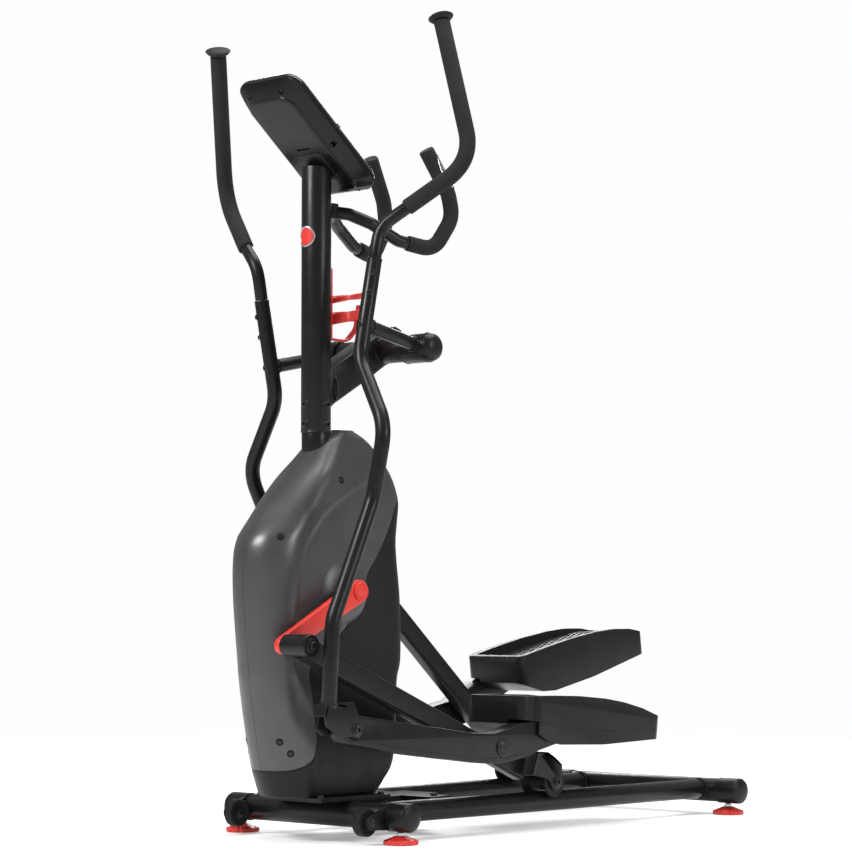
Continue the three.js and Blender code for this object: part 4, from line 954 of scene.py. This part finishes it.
# ---------------------------------------- swing arms
lower_path = route([(*SLEEVE, 133), (128, SLEEVE[1], -67), (227, -170, -205), (203, -150, -340),
                    (203, -209, -583),
                    (203, -186, -742)], 90, 16)
pieces("look_swing_arm", sweep(lower_path, 14.5, 44), "black_frame", "swing_arm_", "swing_arm", "swing")
lever = together(
    rod((*SLEEVE, 0), (SLEEVE[0], -22, 0), 13.5, sides=44),
    ring_at((SLEEVE[0], -148.6, 0), (0, 1, 0), 13.8, 2.0, lumps=0.2),
    ring_at((SLEEVE[0], -29.5, 0), (0, 1, 0), 13.8, 2.2, lumps=0.2),
)
pieces("swing_lever", lever, "black_frame", "swing_arm_", pose="swing")
hub_shape = turned([(88, 8.4), (88, 27.8), (89.2, 29), (146, 29), (152, 28), (159, 25.5), (164, 20.5),
                    (167, 13.5),
                    (168, 5), (168, 0)])
pieces("swing_hub", hub_shape, "black_frame", "swing_arm_", pose="swing")
hub_seams = [ring_at((x, 0, 0), (1, 0, 0), 29.0, 0.7) for x in (146, 92)]
pieces("hub_seam", together(*hub_seams), "black_frame", "swing_arm_", pose="swing")
bolts = [screw((SLEEVE[0], -178.2, 0), (0, -1, 0), 5.5, 4.5)]
bolts += [screw((SLEEVE[0] + 10.2, SLEEVE[1] - 10.2, z), (1, -1, 0), 4, 3.6) for z in (61, 101)]
pieces("sleeve_bolts", together(*bolts), "steel", "swing_arm_", pose="swing", material=BOLT)
clevis_weld = ring_at((203, -187.2, -733.5), (0, 0.15, -1), 14.8, 2.0, lumps=0.2)
pieces("clevis_weld", clevis_weld, "black_frame", "swing_arm_", pose="swing")
pieces("sleeve_ring", ring_at((*SLEEVE, 131.6), (0, 0, 1), 14.2, 1.1), "steel", "swing_arm_", pose="swing",
       material=BOLT)
link_end = arc(LINK, 15, 30, -110, 20)
front_edge = [(-137, -719), (-106, -756)] + link_end + [(-160, -788)]
outer_cheek = [(-204, -737)] + front_edge + [(-196, -776), (-205, -757)]
inner_cheek = [(-176, -730)] + front_edge + [(-176, -780)]
clevis = together(
    prism(inner_cheek, 166.5, 171.5),
    prism(outer_cheek, 210.5, 215.5),
    box((182, 215.5), (-204.5, -199), (-759, -737)),
    box((166.5, 215.5), (-176, -152), (-735, -729)),
)
pieces("clevis", clevis, "black_frame", "swing_arm_", pose="swing", bevel=1.3)
link = together(
    screw((215.5, *LINK), (1, 0, 0), 8, 6),
    screw((166.5, *LINK), (-1, 0, 0), 8, 5, False),
    rod((166, *LINK), (216, *LINK), 6, sides=32),
)
pieces("link_bolt", link, "steel", "swing_arm_", pose="swing", material=BOLT)

# ---------------------------------------- upper handles
handle_path = route([(*SLEEVE, 133.3), (SLEEVE[0], -163, 196), (180, -139.3, 243.2)], 60, 16)
pieces("look_upper_handle", sweep(handle_path, 12.5, 40), "black_frame", "swing_arm_", "upper_handle",
       "swing")
start, corner, end = Vector((172, -144, 235)), Vector((275, -84, 340)), Vector((186, -133, 622))
grip = route([start + (corner - start) * 0.012, corner, end], 95, 30)
grips = pieces("look_handle_grip", sweep(grip, 16, 48, 4), "foam", "swing_arm_", "handle_grip", "swing",
               angle=60)
way = (end - corner).normalized()
knob = turned([(0.4, 0), (0.4, 18), (1.2, 19.4), (5.5, 23.6), (7, 24.8), (8.6, 24.8), (10.6, 22.4),
               (12.6, 16), (13.7, 9), (13.9, 0)],
              sides=64)
pieces("look_grip_cap", turned_to(knob, end, way), "rubber", "swing_arm_", "grip_cap", "swing", angle=45)

# ---------------------------------------- CAD nodes shown as they are
for part in frame["record"]["subparts"]:
    own = frame["nodes"][part["node"]]
    own.data.materials.clear()
    own.data.materials.append(MATERIAL[part["material_slot"]])

# ---------------------------------------- studio
def stage_piece(name, shape, material):
    data = bpy.data.meshes.new(name)
    data.from_pydata([tuple(v) for v in shape[0]], [], shape[1])
    made = bpy.data.objects.new(name, data)
    bpy.context.scene.collection.objects.link(made)
    data.materials.append(material)


FLOOR_Z = -0.0006
FLOOR_HALF = 9
FADE_FROM, FADE_TO = 1.0, 4.2
SKY = (0.98, 0.99, 1.0, 1)
SKY_LIGHT, SKY_SEEN = 0.34, 1.0
corners = ((-1, -1), (1, -1), (1, 1), (-1, 1))
ground = [(x * FLOOR_HALF, y * FLOOR_HALF, FLOOR_Z) for x, y in corners]
pale = finish("pale_floor", (0.84, 0.84, 0.84), 0.7, grain=60, depth=0.0001, spread=0.01, dust=0.0)
fading = pale.node_tree
lit = fading.nodes["Principled BSDF"]
lit.inputs["Emission Color"].default_value = (1, 1, 1, 1)
lit.inputs["Emission Strength"].default_value = 0.3
# Away from the object the floor fades into the backdrop.
spot = node(fading, "ShaderNodeVectorMath", operation="LENGTH")
fading.links.new(node(fading, "ShaderNodeTexCoord").outputs["Object"], spot.inputs[0])
glow = node(fading, "ShaderNodeEmission")
glow.inputs["Color"].default_value = SKY
blend = node(fading, "ShaderNodeMixShader")
fading.links.new(remap(fading, spot.outputs["Value"], FADE_FROM, FADE_TO, 0, 1), blend.inputs["Fac"])
fading.links.new(lit.outputs["BSDF"], blend.inputs[1])
fading.links.new(glow.outputs["Emission"], blend.inputs[2])
fading.links.new(blend.outputs["Shader"], fading.nodes["Material Output"].inputs["Surface"])
stage_piece("floor", (ground, [(0, 1, 2, 3)]), pale)
world = bpy.data.worlds.new("studio")
world.use_nodes = True
sky = world.node_tree.nodes["Background"]
sky.inputs["Color"].default_value = SKY
seen = node(world.node_tree, "ShaderNodeLightPath").outputs["Is Camera Ray"]
brightness = remap(world.node_tree, seen, 0, 1, SKY_LIGHT, SKY_SEEN)
world.node_tree.links.new(brightness, sky.inputs["Strength"])
bpy.context.scene.world = world


def area_light(name, place, target, size, power):
    data = bpy.data.lights.new(name, "AREA")
    data.size = size
    data.energy = power
    made = bpy.data.objects.new(name, data)
    made.location = place
    made.rotation_euler = (Vector(target) - Vector(place)).to_track_quat("-Z", "Y").to_euler()
    bpy.context.scene.collection.objects.link(made)


area_light("key", (-0.6, -3.6, 3.2), (0, 0, 0.8), 1.3, 150)
area_light("fill", (4.2, 0.4, 2.0), (0, 0, 0.6), 1.2, 60)
area_light("top", (0.5, 0.5, 4.4), (0, 0, 0), 3.2, 190)
area_light("back", (-2.6, 2.8, 2.4), (0, 0, 0.9), 1.6, 60)

camera_data = bpy.data.cameras.new("camera")
camera_data.lens = 114.05
camera_data.sensor_width = 36
camera = bpy.data.objects.new("camera", camera_data)
camera.location = (3.7042, -4.1108, 0.450)
heading, rise = math.radians(42.9), math.radians(3.75)
forward = Vector((-math.sin(heading) * math.cos(rise), math.cos(heading) * math.cos(rise), math.sin(rise)))
camera.rotation_euler = forward.to_track_quat("-Z", "Y").to_euler()
bpy.context.scene.collection.objects.link(camera)
bpy.context.scene.camera = camera
bpy.context.scene.view_settings.view_transform = "Standard"
